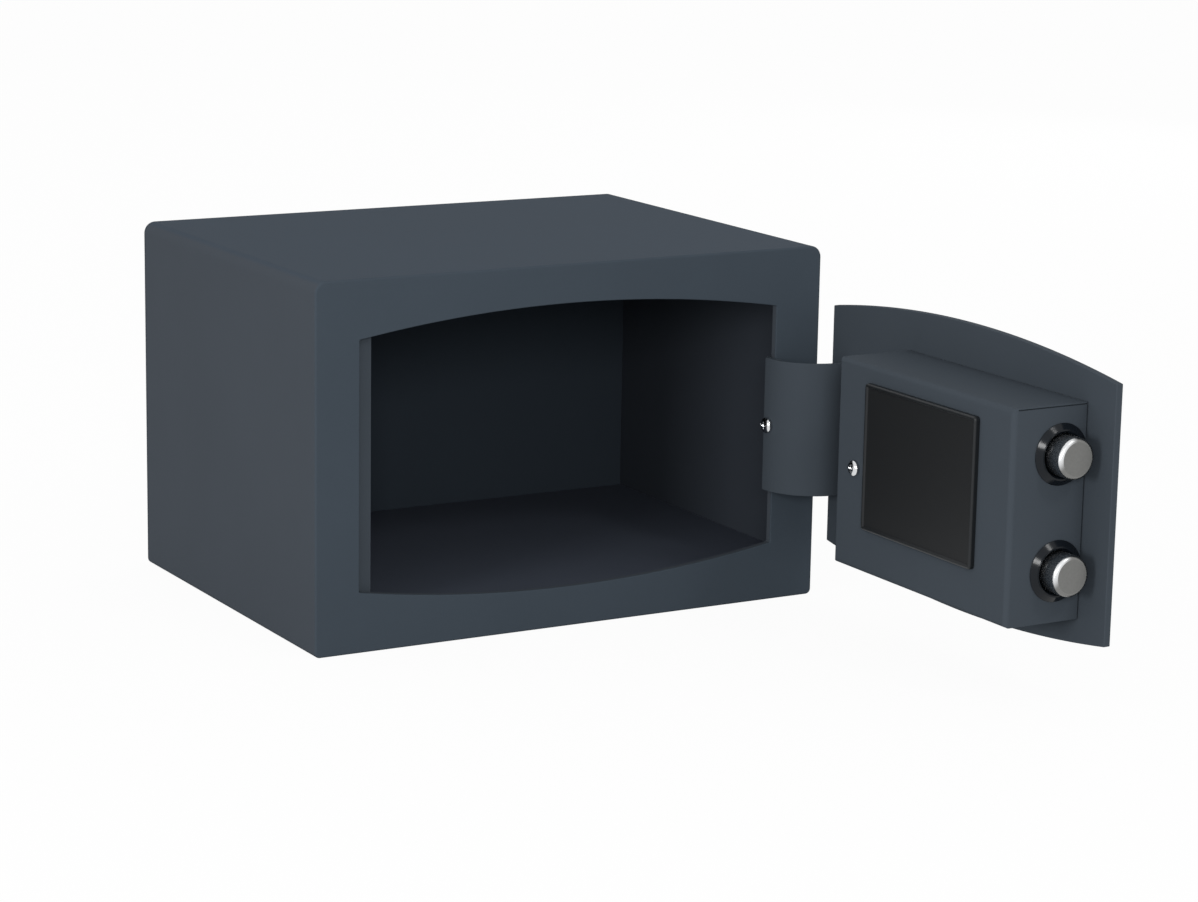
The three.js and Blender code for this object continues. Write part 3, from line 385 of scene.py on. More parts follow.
def insideShadeMask(place):
    # Where the inside's painted shade goes: 1 on the body's inner faces, 0 on its outer ones: the
    # sheet's middle is a box with round edges, reach away from a smaller box with sharp ones
    across = (abs(place.part(0)) - paintedLightBounds["side"] * mm).larger(0)
    upright = (abs(place.part(2) - paintedLightBounds["middle"] * mm) - paintedLightBounds["half"] * mm).larger(0)
    reach = (across ** 2 + upright ** 2) ** 0.5
    behindFront = place.part(1).over(paintedLightBounds["front"], paintedLightBounds["blur"])
    return (1 - reach.over(paintedLightBounds["reach"], paintedLightBounds["blur"])) * behindFront


def powderCoat(name, colour, roughness, body=False):
    finish, place = startFinish(name, Specular_IOR_Level=coat["gloss"])
    clouds, grain, peel = (place.noise(*coat[kind]) for kind in ("clouds", "grain", "peel"))
    tone = clouds * coat["cloudShare"] + grain * (1 - coat["cloudShare"])
    mixed = varied(tone, colour, coat["spread"])
    # The top and front tones are painted light and shade for how light falls on those faces, and
    # the inside tone is painted shade
    if body:
        paintedLightMasks = {"top": place.part(2).over(paintedLightBounds["top"], paintedLightBounds["topBlur"]),
                 "front": 1 - place.part(1).over(paintedLightBounds["face"], paintedLightBounds["faceBlur"]),
                 "inside": insideShadeMask(place)}
        for side, mask in paintedLightMasks.items():
            mixed = mixColours(mask, mixed, varied(tone, coat[side], coat["spread"]))
    rough = clouds * coat["cloudRough"] + grain * coat["grainRough"]
    bumps = peel * coat["peelShare"] + grain * (1 - coat["peelShare"])
    return endFinish(finish, coat, bumps, Base_Color=mixed,
                     Roughness=rough + (roughness - coat["meanRough"]))


# Turned marks on the bolts' ends, lines along their sides, and a painted highlight, a bright
# crescent on the rounded edge where it faces the light; glintAcross and glintUp are the way to it
steel = {"end": (0.185, 0.186, 0.18), "endSpread": (0.85, 1.15), "edge": (0.205, 0.205, 0.2),
         "paintedGlint": (0.75, 0.76, 0.77), "side": (0.44, 0.45, 0.46), "glintAcross": -0.87,
         "glintUp": 0.5, "glintFrom": 7, "glintBlur": 2.4, "boltX": 141.9, "boltMiddle": 99.8,
         "boltSpread": 30, "middleBlur": 1, "tipY": -368.3, "edgeWidth": 2, "endRadius": 8.75,
         "blur": 0.1, "rings": 9000, "grain": (700, 3, 0.6),
         "lines": (260, 3, 0.7, (0.15, 9, 0.15)), "rough": 0.2, "endRough": 0.14,
         "grainRough": 0.12, "ringShare": 0.25, "strength": 0.25, "relief": 0.00005}


def boltSteel(name):
    finish, place = startFinish(name, Metallic=1)
    fromMiddle = place.part(2) - steel["boltMiddle"] * mm
    upper = fromMiddle.over(0, steel["middleBlur"]) * 2 - 1     # 1 on the upper bolt, -1 below
    up = fromMiddle - upper * (steel["boltSpread"] * mm)
    across = place.part(0) - steel["boltX"] * mm
    radius = (up ** 2 + across ** 2) ** 0.5
    towardsLight = across * steel["glintAcross"] + up * steel["glintUp"]
    onPaintedGlint = towardsLight.over(steel["glintFrom"], steel["glintBlur"])
    onEnd = 1 - radius.over(steel["endRadius"], steel["blur"])
    onSide = place.part(1).over(steel["tipY"] + steel["edgeWidth"], steel["blur"])
    rings = (radius * steel["rings"]).sine()
    grain, lines = place.noise(*steel["grain"]), place.noise(*steel["lines"])
    # The painted highlight: the rounded edge painted bright where it faces the light
    edge = mixColours(onPaintedGlint, shade(steel["edge"]), shade(steel["paintedGlint"]))
    body = mixColours(onSide, edge, shade(steel["side"]))
    end = varied(grain, steel["end"], steel["endSpread"])
    rough = onEnd * steel["endRough"] + grain * steel["grainRough"] + steel["rough"]
    return endFinish(finish, steel, rings * onEnd * steel["ringShare"] + lines * onSide,
                     Base_Color=mixColours(onEnd, body, end), Roughness=rough)


metal = {"stain": (60, 4, 0.6), "lines": (900, 3, 0.6, (1, 0.12, 0.12)), "spread": (0.86, 1.1),
         "stainRough": 0.12, "lineRough": 0.12, "meanRough": 0.1, "strength": 0.15,
         "relief": 0.00004}


def plainMetal(name, colour, roughness, lineRough=metal["lineRough"]):
    finish, place = startFinish(name, Metallic=1)
    stain, lines = place.noise(*metal["stain"]), place.noise(*metal["lines"])
    rough = stain * metal["stainRough"] + lines * lineRough + (roughness - metal["meanRough"])
    return endFinish(finish, metal, lines, Base_Color=varied(stain, colour, metal["spread"]),
                     Roughness=rough)


plastic = {"refraction": 1.46, "gloss": 0.3, "grainSize": 1100, "rubbed": (22, 4, 0.6),
           "rubbedShare": 0.6, "spread": (0.8, 1.25), "rubbedRough": 0.16, "grainRough": 0.05,
           "meanRough": 0.1, "strength": 0.4, "relief": 0.00006}


def mouldedPlastic(name, colour, roughness, grainSize=plastic["grainSize"],
                   relief=plastic["relief"], gloss=plastic["gloss"]):
    finish, place = startFinish(name, IOR=plastic["refraction"], Specular_IOR_Level=gloss)
    grain, rubbed = place.noise(grainSize), place.noise(*plastic["rubbed"])
    tone = rubbed * plastic["rubbedShare"] + grain * (1 - plastic["rubbedShare"])
    rough = rubbed * plastic["rubbedRough"] + grain * plastic["grainRough"]
    return endFinish(finish, plastic, grain, relief,
                     Base_Color=varied(tone, colour, plastic["spread"]),
                     Roughness=rough + (roughness - plastic["meanRough"]))


lidRim = {"y": -278.3, "halfY": 49, "z": 106.9, "halfZ": 39.45, "width": 2.3, "blur": 0.3,
          "tone": (0.011, 0.013, 0.015), "sheenNoise": (160, 3, 0.6), "sheenSpread": 0.5,
          "leastSheen": 0.6, "spread": (0.85, 1.15), "rough": 0.46, "grainRough": 0.08,
          "polish": 0.14, "strength": 0.35, "relief": 0.00006}


def lidPlastic(name, colour):
    # Black like the rest, its raised rim painted a little lighter in patches: a painted sheen for
    # the light the rim catches
    finish, place = startFinish(name, IOR=plastic["refraction"],
                                Specular_IOR_Level=plastic["gloss"])
    grain, sheenNoise = place.noise(plastic["grainSize"]), place.noise(*lidRim["sheenNoise"])
    outY = abs(place.part(1) - lidRim["y"] * mm) - lidRim["halfY"] * mm
    outZ = abs(place.part(2) - lidRim["z"] * mm) - lidRim["halfZ"] * mm
    sheenPatches = sheenNoise * lidRim["sheenSpread"] + lidRim["leastSheen"]
    # The painted sheen's band along the rim
    rim = outY.larger(outZ).over(-lidRim["width"], lidRim["blur"]) * sheenPatches
    body = varied(grain, colour, lidRim["spread"])
    rough = grain * lidRim["grainRough"] + lidRim["rough"] - rim * lidRim["polish"]
    return endFinish(finish, lidRim, grain, Roughness=rough,
                     Base_Color=mixColours(rim, body, shade(lidRim["tone"])))


lampGlass = {"rough": 0.08, "refraction": 1.49, "coat": 0.6, "ribs": 5200,
             "spread": (0.75, 1.3), "strength": 0.3, "relief": 0.0001}


def lampLens(name, colour):
    finish, place = startFinish(name, Roughness=lampGlass["rough"], Coat_Weight=lampGlass["coat"],
                                IOR=lampGlass["refraction"])
    ribs = (place.part(1) * lampGlass["ribs"]).sine()       # from -1 to 1
    return endFinish(finish, lampGlass, ribs,
                     Base_Color=varied(ribs * 0.5 + 0.5, colour, lampGlass["spread"]))


sleeve = {"colour": (0.018, 0.03, 0.05), "band": (0.55, 0.42, 0.2), "metal": (0.62, 0.63, 0.64),
          "middleY": -278.85, "bandStart": 12, "bandBlur": 0.2, "end": 24.6, "endBlur": 0.1,
          "refraction": 1.5, "speck": (500, 2), "bareMetal": 0.9, "bandMetal": 0.5,
          "rough": 0.25, "speckRough": 0.1, "strength": 0.1, "relief": 0.00003}


def cellWrap(name, turned):
    # A plain sleeve with a coloured band towards the cell's raised end, and bare metal ends
    finish, place = startFinish(name, IOR=sleeve["refraction"])
    along = (place.part(1) - sleeve["middleY"] * mm) * (-1 if turned else 1)
    band = along.over(sleeve["bandStart"], sleeve["bandBlur"])
    bare = abs(along).over(sleeve["end"], sleeve["endBlur"])
    speck = place.noise(*sleeve["speck"])
    wrap = mixColours(band, shade(sleeve["colour"]), shade(sleeve["band"]))
    shine = bare * sleeve["bareMetal"] + (1 - bare) * band * sleeve["bandMetal"]
    return endFinish(finish, sleeve, speck, Metallic=shine,
                     Base_Color=mixColours(bare, wrap, shade(sleeve["metal"])),
                     Roughness=speck * sleeve["speckRough"] + sleeve["rough"])


board = {"refraction": 1.5, "scale": 220, "track": 0.06, "between": (0, 0, 0, 1),
         "onTrack": (1, 1, 1, 1), "speck": (800, 2), "trackTone": 0.6, "speckTone": 0.2,
         "spread": (0.8, 2.2), "rough": 0.3, "speckRough": 0.15, "strength": 0.4,
         "relief": 0.00005}


def boardFinish(name, colour):
    # Solder mask over a grid of tracks
    finish, place = startFinish(name, IOR=board["refraction"])
    tracks = place.node("ShaderNodeTexBrick", {"Vector": place, "Scale": board["scale"],
                        "Mortar Size": board["track"], "Color1": board["between"],
                        "Color2": board["between"], "Mortar": board["onTrack"]}).part(0)
    speck = place.noise(*board["speck"])
    tone = tracks * board["trackTone"] + speck * board["speckTone"]
    return endFinish(finish, board, tracks, Base_Color=varied(tone, colour, board["spread"]),
                     Roughness=speck * board["speckRough"] + board["rough"])


finishes = {
    "shell_coat": powderCoat("satin coat", coat["door"], coat["rough"]),
    "body_coat": powderCoat("body coat with painted light and shade", coat["side"], coat["rough"], body=True),
    # The back lining's darker tone is painted shade, and the floor lining's lighter tone is
    # painted light
    "lining_coat": powderCoat("lining coat", coat["lining"], coat["rough"] + coat["liningRough"]),
    "floor_coat": powderCoat("floor lining coat", coat["floor"],
                             coat["rough"] + coat["liningRough"]),
    "zinc_plate": plainMetal("zinc plate", (0.48, 0.5, 0.52), 0.42),
    "bolt_steel": boltSteel("bolt steel"),
    "wire_steel": plainMetal("wire steel", (0.5, 0.5, 0.5), 0.32),
    "screw_chrome": plainMetal("screw chrome", (0.7, 0.71, 0.72), 0.19, lineRough=0.06),
    "brass": plainMetal("brass", (0.6, 0.43, 0.17), 0.3),
    "black_plastic": mouldedPlastic("black plastic", (0.0105, 0.0115, 0.0125), 0.5),
    "lid_plastic": lidPlastic("lid plastic", (0.0096, 0.0105, 0.0115)),
    "gloss_plastic": mouldedPlastic("bushing plastic", (0.006, 0.008, 0.011), 0.14,
                                    grainSize=1600, relief=0.00001, gloss=0.22),
    "grey_plastic": mouldedPlastic("grey plastic", (0.04, 0.043, 0.046), 0.55),
    "key_plastic": mouldedPlastic("key plastic", (0.22, 0.235, 0.25), 0.5, grainSize=1400),
    "white_ink": mouldedPlastic("white ink", (0.72, 0.73, 0.74), 0.5),
    "dark_ink": mouldedPlastic("dark ink", (0.012, 0.013, 0.015), 0.5),
    "cell_wrap": cellWrap("cell sleeve", turned=False),
    "cell_wrap_turned": cellWrap("cell sleeve turned", turned=True),
    "board_green": boardFinish("board", (0.012, 0.055, 0.022)),
    "lens_red": lampLens("lamp lens", (0.3, 0.015, 0.012)),
}
print("finishes made:", len(finishes))


def dress(piece, finish):
    piece.data.materials.clear()
    piece.data.materials.append(finishes[finish])


def fit(piece, body, slot, *replaced, finish=None):
    # The weighted normals keep broad flat faces in one shade
    applied(piece, "WEIGHTED_NORMAL", keep_sharp=True, weight=limits["flatWeight"])
    dress(piece, finish or slot)
    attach(piece, body)
    if replaced:
        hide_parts(*replaced)


def fitDoor(piece, *names, finish=None):
    fit(moveTo(piece, doorPlace), *names, finish=finish)


# Body

opening = {"left": -129.5, "right": 126.5, "sideLow": 33, "sideHigh": 168, "rise": 10.75,
           "steps": 48}
openingHalf = (opening["right"] - opening["left"]) / 2
openingArc = (openingHalf ** 2 + opening["rise"] ** 2) / (2 * opening["rise"])


def openingArcs(inset=0):
    down = openingArc - opening["rise"]
    return {"radius": openingArc - inset, "topCentre": opening["sideHigh"] - down,
            "bottomCentre": opening["sideLow"] + down}


shell = {"side": 155, "front": -115, "back": 113, "top": 200, "wall": 2, "frontPlate": 4.5,
         "topRound": 6.5, "topSteps": 12, "bottomRound": 3, "bottomSteps": 6,
         "innerSteps": 4, "faceRound": (1.2, 6), "lipRound": (0.5, 3)}
rear = {"front": 113.15, "back": 115, "rim": (0.9, 3), "ease": 0.15}


def bodyBlock(name, front, back, *endRound):
    piece = block(name, (-shell["side"], front, 0), (shell["side"], back, shell["top"]))
    return rounded(piece, (frontToBackAt(shell["top"]), shell["topRound"], shell["topSteps"]),
                   (frontToBackAt(0), shell["bottomRound"], shell["bottomSteps"]), endRound)


def makeShell():
    front, wall = shell["front"], shell["wall"]
    body = bodyBlock("body_shell", front, shell["back"], atDepth(front), *shell["faceRound"])
    side, top = shell["side"] - wall, shell["top"] - wall
    hollow = block("hollow", (-side, front + shell["frontPlate"], wall),
                   (side, shell["back"] + past, top))
    rounded(hollow, (frontToBackAt(top), shell["topRound"] - wall, shell["topSteps"]),
            (frontToBackAt(wall), shell["bottomRound"] - wall, shell["innerSteps"]))
    mouth = barrel("mouth", openingHalf, openingArcs(), (opening["left"] + opening["right"]) / 2,
                   front - past, front + shell["frontPlate"] + past, opening["steps"])
    carve(body, hollow, mouth)
    soften(body, *shell["lipRound"])
    fit(body, "root", "shell_coat", "body_wrap", "front_frame", finish="body_coat")


def makeRearPlate():
    plate = bodyBlock("rear_plate", rear["front"], rear["back"], atDepth(rear["back"]),
                      *rear["rim"])
    soften(plate, rear["ease"])
    fit(plate, "root", "shell_coat", "back_panel", finish="body_coat")


makeShell()
makeRearPlate()
print("body made")


# Door panel and hinge strap

panel = {"outer": -14.1, "inner": -10.1, "sideGap": 2.4, "archGap": 0.7, "hingeEdge": -23.8,
         "rim": (0.5, 4), "lockX": -164.9, "spindleZ": 84.8, "cylinderZ": 127.8,
         "spindleHole": 6.8, "cylinderHole": 8.3, "holeLength": 8, "holeEase": (0.12, 1)}


def lockHoles(spindleRadius, cylinderRadius, depth, length):
    places = ((spindleRadius, panel["spindleZ"]), (cylinderRadius, panel["cylinderZ"]))
    return [hole(radius, (panel["lockX"], depth, z), (0, 1, 0), length) for radius, z in places]


def makeDoorPanel():
    half = openingHalf - panel["sideGap"]
    plate = barrel("door_plate", half, openingArcs(panel["archGap"]), panel["hingeEdge"] - half,
                   panel["outer"], panel["inner"], opening["steps"])
    soften(plate, *panel["rim"])
    depth = (panel["outer"] + panel["inner"]) / 2
    carve(plate, *lockHoles(panel["spindleHole"], panel["cylinderHole"], depth,
                            panel["holeLength"]))
    soften(plate, *panel["holeEase"])
    fitDoor(plate, "door", "shell_coat", "door_panel")


strap = {"low": 63.6, "high": 138.6, "thick": 2, "arcX": -13.1, "arcY": -3.3, "inner": 27.42,
         "arcSteps": 28, "tail": 2.1, "bend": 4.5, "bendSteps": 8, "foot": 22, "footY": -8.8,
         "rim": (0.45, 3)}


def makeStrap():
    # The strap's middle line is drawn at its low edge, pulled up and thickened
    low, middle = strap["low"], strap["inner"] + strap["thick"] / 2
    reach = middle + strap["bend"]
    sweep = math.pi - math.asin((strap["footY"] - strap["arcY"] + strap["bend"]) / reach)
    bendX = strap["arcX"] + reach * math.cos(sweep)
    bendY = strap["arcY"] + reach * math.sin(sweep)
    sheet = firstPoint("hinge_gooseneck", (strap["arcX"] + strap["tail"],
                                           strap["arcY"] + middle, low))
    drawTo((-strap["tail"], 0, 0))
    spin(strap["arcSteps"], math.pi / 2 - sweep, (strap["arcX"], strap["arcY"], low), (0, 0, 1))
    spin(strap["bendSteps"], sweep - math.pi / 2, (bendX, bendY, low), (0, 0, 1))
    drawTo((-strap["foot"], 0, 0))
    pickAll()
    drawTo((0, 0, strap["high"] - low))
    leave(sheet)
    applied(sheet, "SOLIDIFY", thickness=strap["thick"] * mm, offset=0, use_even_offset=True)
    edit(sheet)
    closeSkin()
    leave(sheet)
    soften(sheet, *strap["rim"])
    fitDoor(sheet, "door", "shell_coat", "hinge_strap")


makeDoorPanel()
makeStrap()
print("door plate and strap made")


# Pan head screws

screw = {"head": 4.3, "rise": 2.9, "rim": 0.9, "domeStep": 10, "steps": 40, "shank": 2,
         "length": 9, "shortLength": 4.4, "crossSpan": 4.4, "crossWidth": 0.9, "crossDepth": 1.3,
         "ease": (0.1, 1), "coverAt": (-117.5, 36.5, 98.2), "strapTurn": 94.3,
         "strapSeat": 29.72}


def makeScrew(name, length):
    # Its head's underside is at the origin, and it points along +y
    top = screw["rise"]
    bulge = top - screw["rim"]
    angles = [math.radians(angle) for angle in range(0, 90, screw["domeStep"])]
    dome = [(screw["head"] * math.cos(a), screw["rim"] + bulge * math.sin(a)) for a in angles]
    profile = [(0, -length), (screw["shank"], -length), (screw["shank"], 0), (screw["head"], 0),
               *dome, (0, top)]
    head = turnedPiece(name, profile, (0, 1, 0), (0, 0, 0), screw["steps"])
    half, slot = screw["crossSpan"] / 2, screw["crossWidth"] / 2
    ends = (top - screw["crossDepth"], top + past)
    carve(head, slab("bar", 0, 0, half, slot, *ends), slab("bar", 0, 0, slot, half, *ends))
    return soften(head, *screw["ease"])


def makeScrews():
    long = makeScrew("lock_cover_screw", screw["length"])
    moveTo(long, doorPlace @ movedBy(screw["coverAt"]))
    fit(long, "door", "screw_chrome", "cover_screw")
    angle = math.radians(screw["strapTurn"])
    seat = (strap["arcX"] + screw["strapSeat"] * math.cos(angle),
            strap["arcY"] + screw["strapSeat"] * math.sin(angle),
            (strap["low"] + strap["high"]) / 2)
    turn = Matrix.Rotation(math.radians(screw["strapTurn"] - 90), 4, "Z")
    short = makeScrew("gooseneck_screw", screw["shortLength"])
    moveTo(short, doorPlace @ movedBy(seat) @ turn)
    fit(short, "door", "screw_chrome", "strap_screw")


# Lock cover and battery lid

cover = {"left": -253.6, "right": -99.4, "foot": -9.2, "face": 36.2, "low": 43, "high": 155.2,
         "wall": 1.5, "bend": 3, "bendSteps": 8, "innerSteps": 6, "rim": 0.2, "seamFrom": 0.7,
         "seamTo": 1.3, "seamDepth": 1.2, "windowGap": 0.3, "boltHole": 12.9,
         "boltHoleLength": 8, "smooth": 30}
bolt = {"heights": (69.8, 129.8), "depth": 6, "radius": 10.75, "length": 56.4,
        "shoulder": -211, "edge": 2, "edgeStep": 10, "steps": 96, "tenon": 6, "tenonLength": 5,
        "ease": 0.2}
lid = {"left": -226.4, "right": -128.4, "low": 67.45, "high": 146.35, "seat": 36.5, "top": 39.4,
       "corner": (2, 5), "edge": (1.2, 4), "rim": 1.5, "slope": 0.7, "drop": 0.9, "ease": 0.16,
       "skirtInset": 4, "skirtWall": 1.2, "skirtDepth": 1.6, "sunk": 0.3}


def makeSeams():
    # The slits where the cover's folded sides meet, near its upper corners
    low, high = cover["high"] - cover["seamTo"], cover["high"] - cover["seamFrom"]
    for x, outward in ((cover["left"], -1), (cover["right"], 1)):
        first, last = sorted((x + outward * past, x - outward * cover["seamDepth"]))
        yield block("seam", (first, cover["foot"] - past, low),
                    (last, cover["face"] - cover["bend"], high))


def makeCover():
    left, right, low, high = cover["left"], cover["right"], cover["low"], cover["high"]
    foot, face, wall = cover["foot"], cover["face"], cover["wall"]
    box = block("lock_case", (left, foot, low), (right, face, high))
    rounded(box, (atDepth(face), cover["bend"], cover["bendSteps"]))
    soften(box, cover["rim"])
    space = block("space", (left + wall, foot - past, low + wall),
                  (right - wall, face - wall, high - wall))
    rounded(space, (atDepth(face - wall), cover["bend"] - wall, cover["innerSteps"]))
    seams = list(makeSeams())
    inset = lid["skirtInset"] - cover["windowGap"]
    window = lidBlock("window", inset, face - wall - past, face + past)
    sleeves = [hole(cover["boltHole"], (left, bolt["depth"], z), (1, 0, 0),
                    cover["boltHoleLength"]) for z in bolt["heights"]]
    carve(box, space, window, *sleeves, *seams)
    choose(box)
    bpy.ops.object.shade_smooth_by_angle(angle=math.radians(cover["smooth"]))
    fitDoor(box, "door", "shell_coat", "lock_cover")


def lidBlock(name, inset, low, high):
    return block(name, (lid["left"] + inset, low, lid["low"] + inset),
                 (lid["right"] - inset, high, lid["high"] - inset))


def lidSkirt():
    # The wall under the lid that finds its place in the case's opening
    low, high = lid["seat"] - lid["skirtDepth"], lid["seat"] + lid["sunk"]
    skirt = lidBlock("skirt", lid["skirtInset"], low, high)
    return carve(skirt, lidBlock("inside", lid["skirtInset"] + lid["skirtWall"],
                                 low - past, high + past))


def makeBatteryLid():
    top, slope = lid["top"], lid["slope"]
    cap = lidBlock("battery_cover", 0, lid["seat"], top)
    rounded(cap, (frontToBack, *lid["corner"]), (atDepth(top), *lid["edge"]))
    inset = lid["rim"] + slope
    width = lid["right"] - lid["left"] - 2 * inset
    height = lid["high"] - lid["low"] - 2 * inset
    dip = lidBlock("dip", inset, top - lid["drop"], top)
    edit(dip)
    pick("FACE", faceAtDepth(top, 1))
    bpy.ops.transform.resize(value=(1 + 2 * slope / width, 1, 1 + 2 * slope / height))
    drawTo((0, past, 0))
    leave(dip)
    carve(cap, dip)
    soften(cap, lid["ease"])
    skirt = lidSkirt()
    choose(cap)
    skirt.select_set(True)
    bpy.ops.object.join()
    fitDoor(cap, "lid", "black_plastic", "battery_lid", finish="lid_plastic")


makeScrews()
makeCover()
makeBatteryLid()
print("lock case, lid and screws made")


# Bolts and their bushings

bushing = {"bore": 11.05, "sleeve": 12.6, "sleeveLength": 9, "flange": 16, "flangeThick": 2.5,
           "cone": 2.9, "coneFoot": 0.25, "mouth": 12.2, "mouthDepth": 1.6, "seat": 0.3,
           "ease": (0.25, 3)}


def boltProfile():
    length, tenon, tenonLength = bolt["length"], bolt["tenon"], bolt["tenonLength"]
    return [(0, -tenonLength), (tenon, -tenonLength), (tenon, 0), (bolt["radius"], 0),
            *easedRim(bolt["radius"], length, bolt["edge"], bolt["edgeStep"]), (0, length)]


def bushingProfile():
    top, foot, bore = bushing["flangeThick"], -bushing["sleeveLength"], bushing["bore"]
    sleeve, flange = bushing["sleeve"], bushing["flange"]
    return [(bore, foot), (sleeve, foot), (sleeve, 0), (flange, 0), (flange, bushing["coneFoot"]),
            (flange - bushing["cone"], top), (bushing["mouth"], top),
            (bore, top - bushing["mouthDepth"]), (bore, foot)]


def makeBolts():
    for name, height in zip(("lower", "upper"), bolt["heights"]):
        rod = turnedPiece(f"round_bolt_{name}", boltProfile(), (-1, 0, 0),
                          (bolt["shoulder"], bolt["depth"], height), bolt["steps"])
        soften(rod, bolt["ease"], limit=limits["turnedCrease"])
        fitDoor(rod, "bolts", "bolt_steel", f"bolt_{name}")
        bush = turnedPiece(f"bushing_{name}", bushingProfile(), (-1, 0, 0),
                           (cover["left"] - bushing["seat"], bolt["depth"], height),
                           bolt["steps"])
        soften(bush, *bushing["ease"], limits["turnedCrease"])
        fitDoor(bush, "door", "black_plastic", f"bolt_bushing_{name}", finish="gloss_plastic")


makeBolts()
print("bolts made")


# Keypad, knob and emergency lock on the outside of the door

pad = {"left": -195.9, "right": -67.9, "low": 50.8, "high": 150.8, "face": -26.4, "back": -14.4,
       "corner": (8, 10), "round": (1.8, 5), "wall": 2, "ease": 0.15,
       "pocketX": -102.9, "pocketHalf": 29, "pocketLow": 57.8, "pocketHigh": 143.8,
       "panelInset": 3, "panelDepth": 0.5, "panelCorner": (3, 6),
       "spindleHole": 4.6, "cylinderHole": 8.3, "holeY": -20, "holeLength": 20, "slotPast": 2}
keys = {"names": (*"123456789", "clear", "0", "enter"), "marks": "123456789*0#", "columns": 3,
        "width": 12, "height": 10.99, "corner": (2, 5), "slotCorner": (2, 4),
        "pitchX": 16, "pitchZ": 16.48, "topZ": 118.26, "proud": 2, "flange": 0.9,
        "flangeFace": -24.1, "flangeThick": 1.2, "gap": 0.3, "round": (0.6, 3),
        "dishInset": 1.4, "dish": 0.25, "ease": (0.12, 1), "markSize": 6.2, "markThick": 0.1,
        "markSteps": 4}
lens = {"z": 134.8, "width": 14, "height": 4, "proud": 0.4, "gap": 0.3, "roundness": 0.98,
        "steps": 6, "ease": (0.3, 3)}


def keyPlace(number):
    column, row = number % keys["columns"] - 1, number // keys["columns"]
    return pad["pocketX"] + column * keys["pitchX"], keys["topZ"] - row * keys["pitchZ"]


def slotAt(x, z, halfWidth, halfHeight, corner, steps):
    # Cuts right through the housing's face
    slot = slab("slot", x, z, halfWidth, halfHeight, pad["face"] - pad["slotPast"],
                pad["back"] + pad["slotPast"])
    return rounded(slot, (frontToBack, corner, steps))


def makeHousing():
    x, half, face = pad["pocketX"], pad["pocketHalf"], pad["face"]
    case = block("keypad_case", (pad["left"], face, pad["low"]),
                 (pad["right"], pad["back"], pad["high"]))
    rounded(case, (frontToBack, *pad["corner"]), (atDepth(face), *pad["round"]))
    pocket = block("pocket", (x - half, face + pad["wall"], pad["pocketLow"]),
                   (x + half, pad["back"] + pad["slotPast"], pad["pocketHigh"]))
    half -= pad["panelInset"]
    tray = block("tray", (x - half, face - past, pad["pocketLow"] + pad["panelInset"]),
                 (x + half, face + pad["panelDepth"], pad["pocketHigh"] - pad["panelInset"]))
    rounded(tray, (frontToBack, *pad["panelCorner"]))
    openings = lockHoles(pad["spindleHole"], pad["cylinderHole"], pad["holeY"], pad["holeLength"])
    width, height = keys["width"] / 2 + keys["gap"], keys["height"] / 2 + keys["gap"]
    for number in range(len(keys["names"])):
        openings.append(slotAt(*keyPlace(number), width, height, *keys["slotCorner"]))
    width, height = lens["width"] / 2 + lens["gap"], lens["height"] / 2 + lens["gap"]
    openings.append(slotAt(x, lens["z"], width, height, height * lens["roundness"],
                           lens["steps"]))
    carve(case, tray, pocket, *openings)
    soften(case, pad["ease"])
    fitDoor(case, "door", "black_plastic", "keypad_housing")


def makeKey(name):
    # One key in the first place: a flange that the housing holds and a dished cap
    x, z = keyPlace(0)
    width, height = keys["width"] / 2 + keys["flange"], keys["height"] / 2 + keys["flange"]
    low, high = keys["flangeFace"], keys["flangeFace"] + keys["flangeThick"]
    top = pad["face"] - keys["proud"]

    def onCapSide(edge):
        total = edge.verts[0].co.y + edge.verts[1].co.y
        return runsAlong(edge, 1) and total < 2 * low * mm - limits["apart"]

    key = slab(name, x, z, width, height, low, high)
    edit(key)
    pick("FACE", faceAtDepth(low, -1))
    bpy.ops.mesh.inset(thickness=keys["flange"] * mm)
    drawTo((0, top - low, 0))
    roundEdges(onCapSide, *keys["corner"])
    roundEdges(atDepth(top), *keys["round"])
    pick("FACE", faceAtDepth(top, -1))
    bpy.ops.mesh.inset(thickness=keys["dishInset"] * mm, depth=-keys["dish"] * mm)
    leave(key)
    return soften(key, *keys["ease"])


def makeMark(name, text, x, z):
    deselect()
    bpy.ops.object.text_add(location=(0, 0, 0))
    mark = bpy.context.object
    mark.data.body, mark.data.size = text, keys["markSize"] * mm
    mark.data.align_x, mark.data.align_y = "CENTER", "CENTER"
    mark.data.extrude, mark.data.resolution_u = keys["markThick"] * mm, keys["markSteps"]
    bpy.ops.object.convert(target="MESH")
    mark = bpy.context.object
    mark.name = name
    edit(mark)
    closeSkin()
    leave(mark)
    seat = movedBy((x, pad["face"] - keys["proud"] + keys["dish"], z))
    return moveTo(mark, doorPlace @ seat @ Matrix.Rotation(math.radians(90), 4, "X"))


def makeKeys():
    pattern = makeKey("key_pattern")
    firstX, firstZ = keyPlace(0)
    for number, name in enumerate(keys["names"]):
        x, z = keyPlace(number)
        key = copyOf(pattern, f"pad_key_{name}", (x - firstX, 0, z - firstZ))
        fitDoor(key, f"button_{name}", "key_plastic", f"key_{name}")
        mark = makeMark(f"key_mark_{name}", keys["marks"][number], x, z)
        fit(mark, f"button_{name}", "black_plastic", finish="dark_ink")
    bpy.data.objects.remove(pattern)


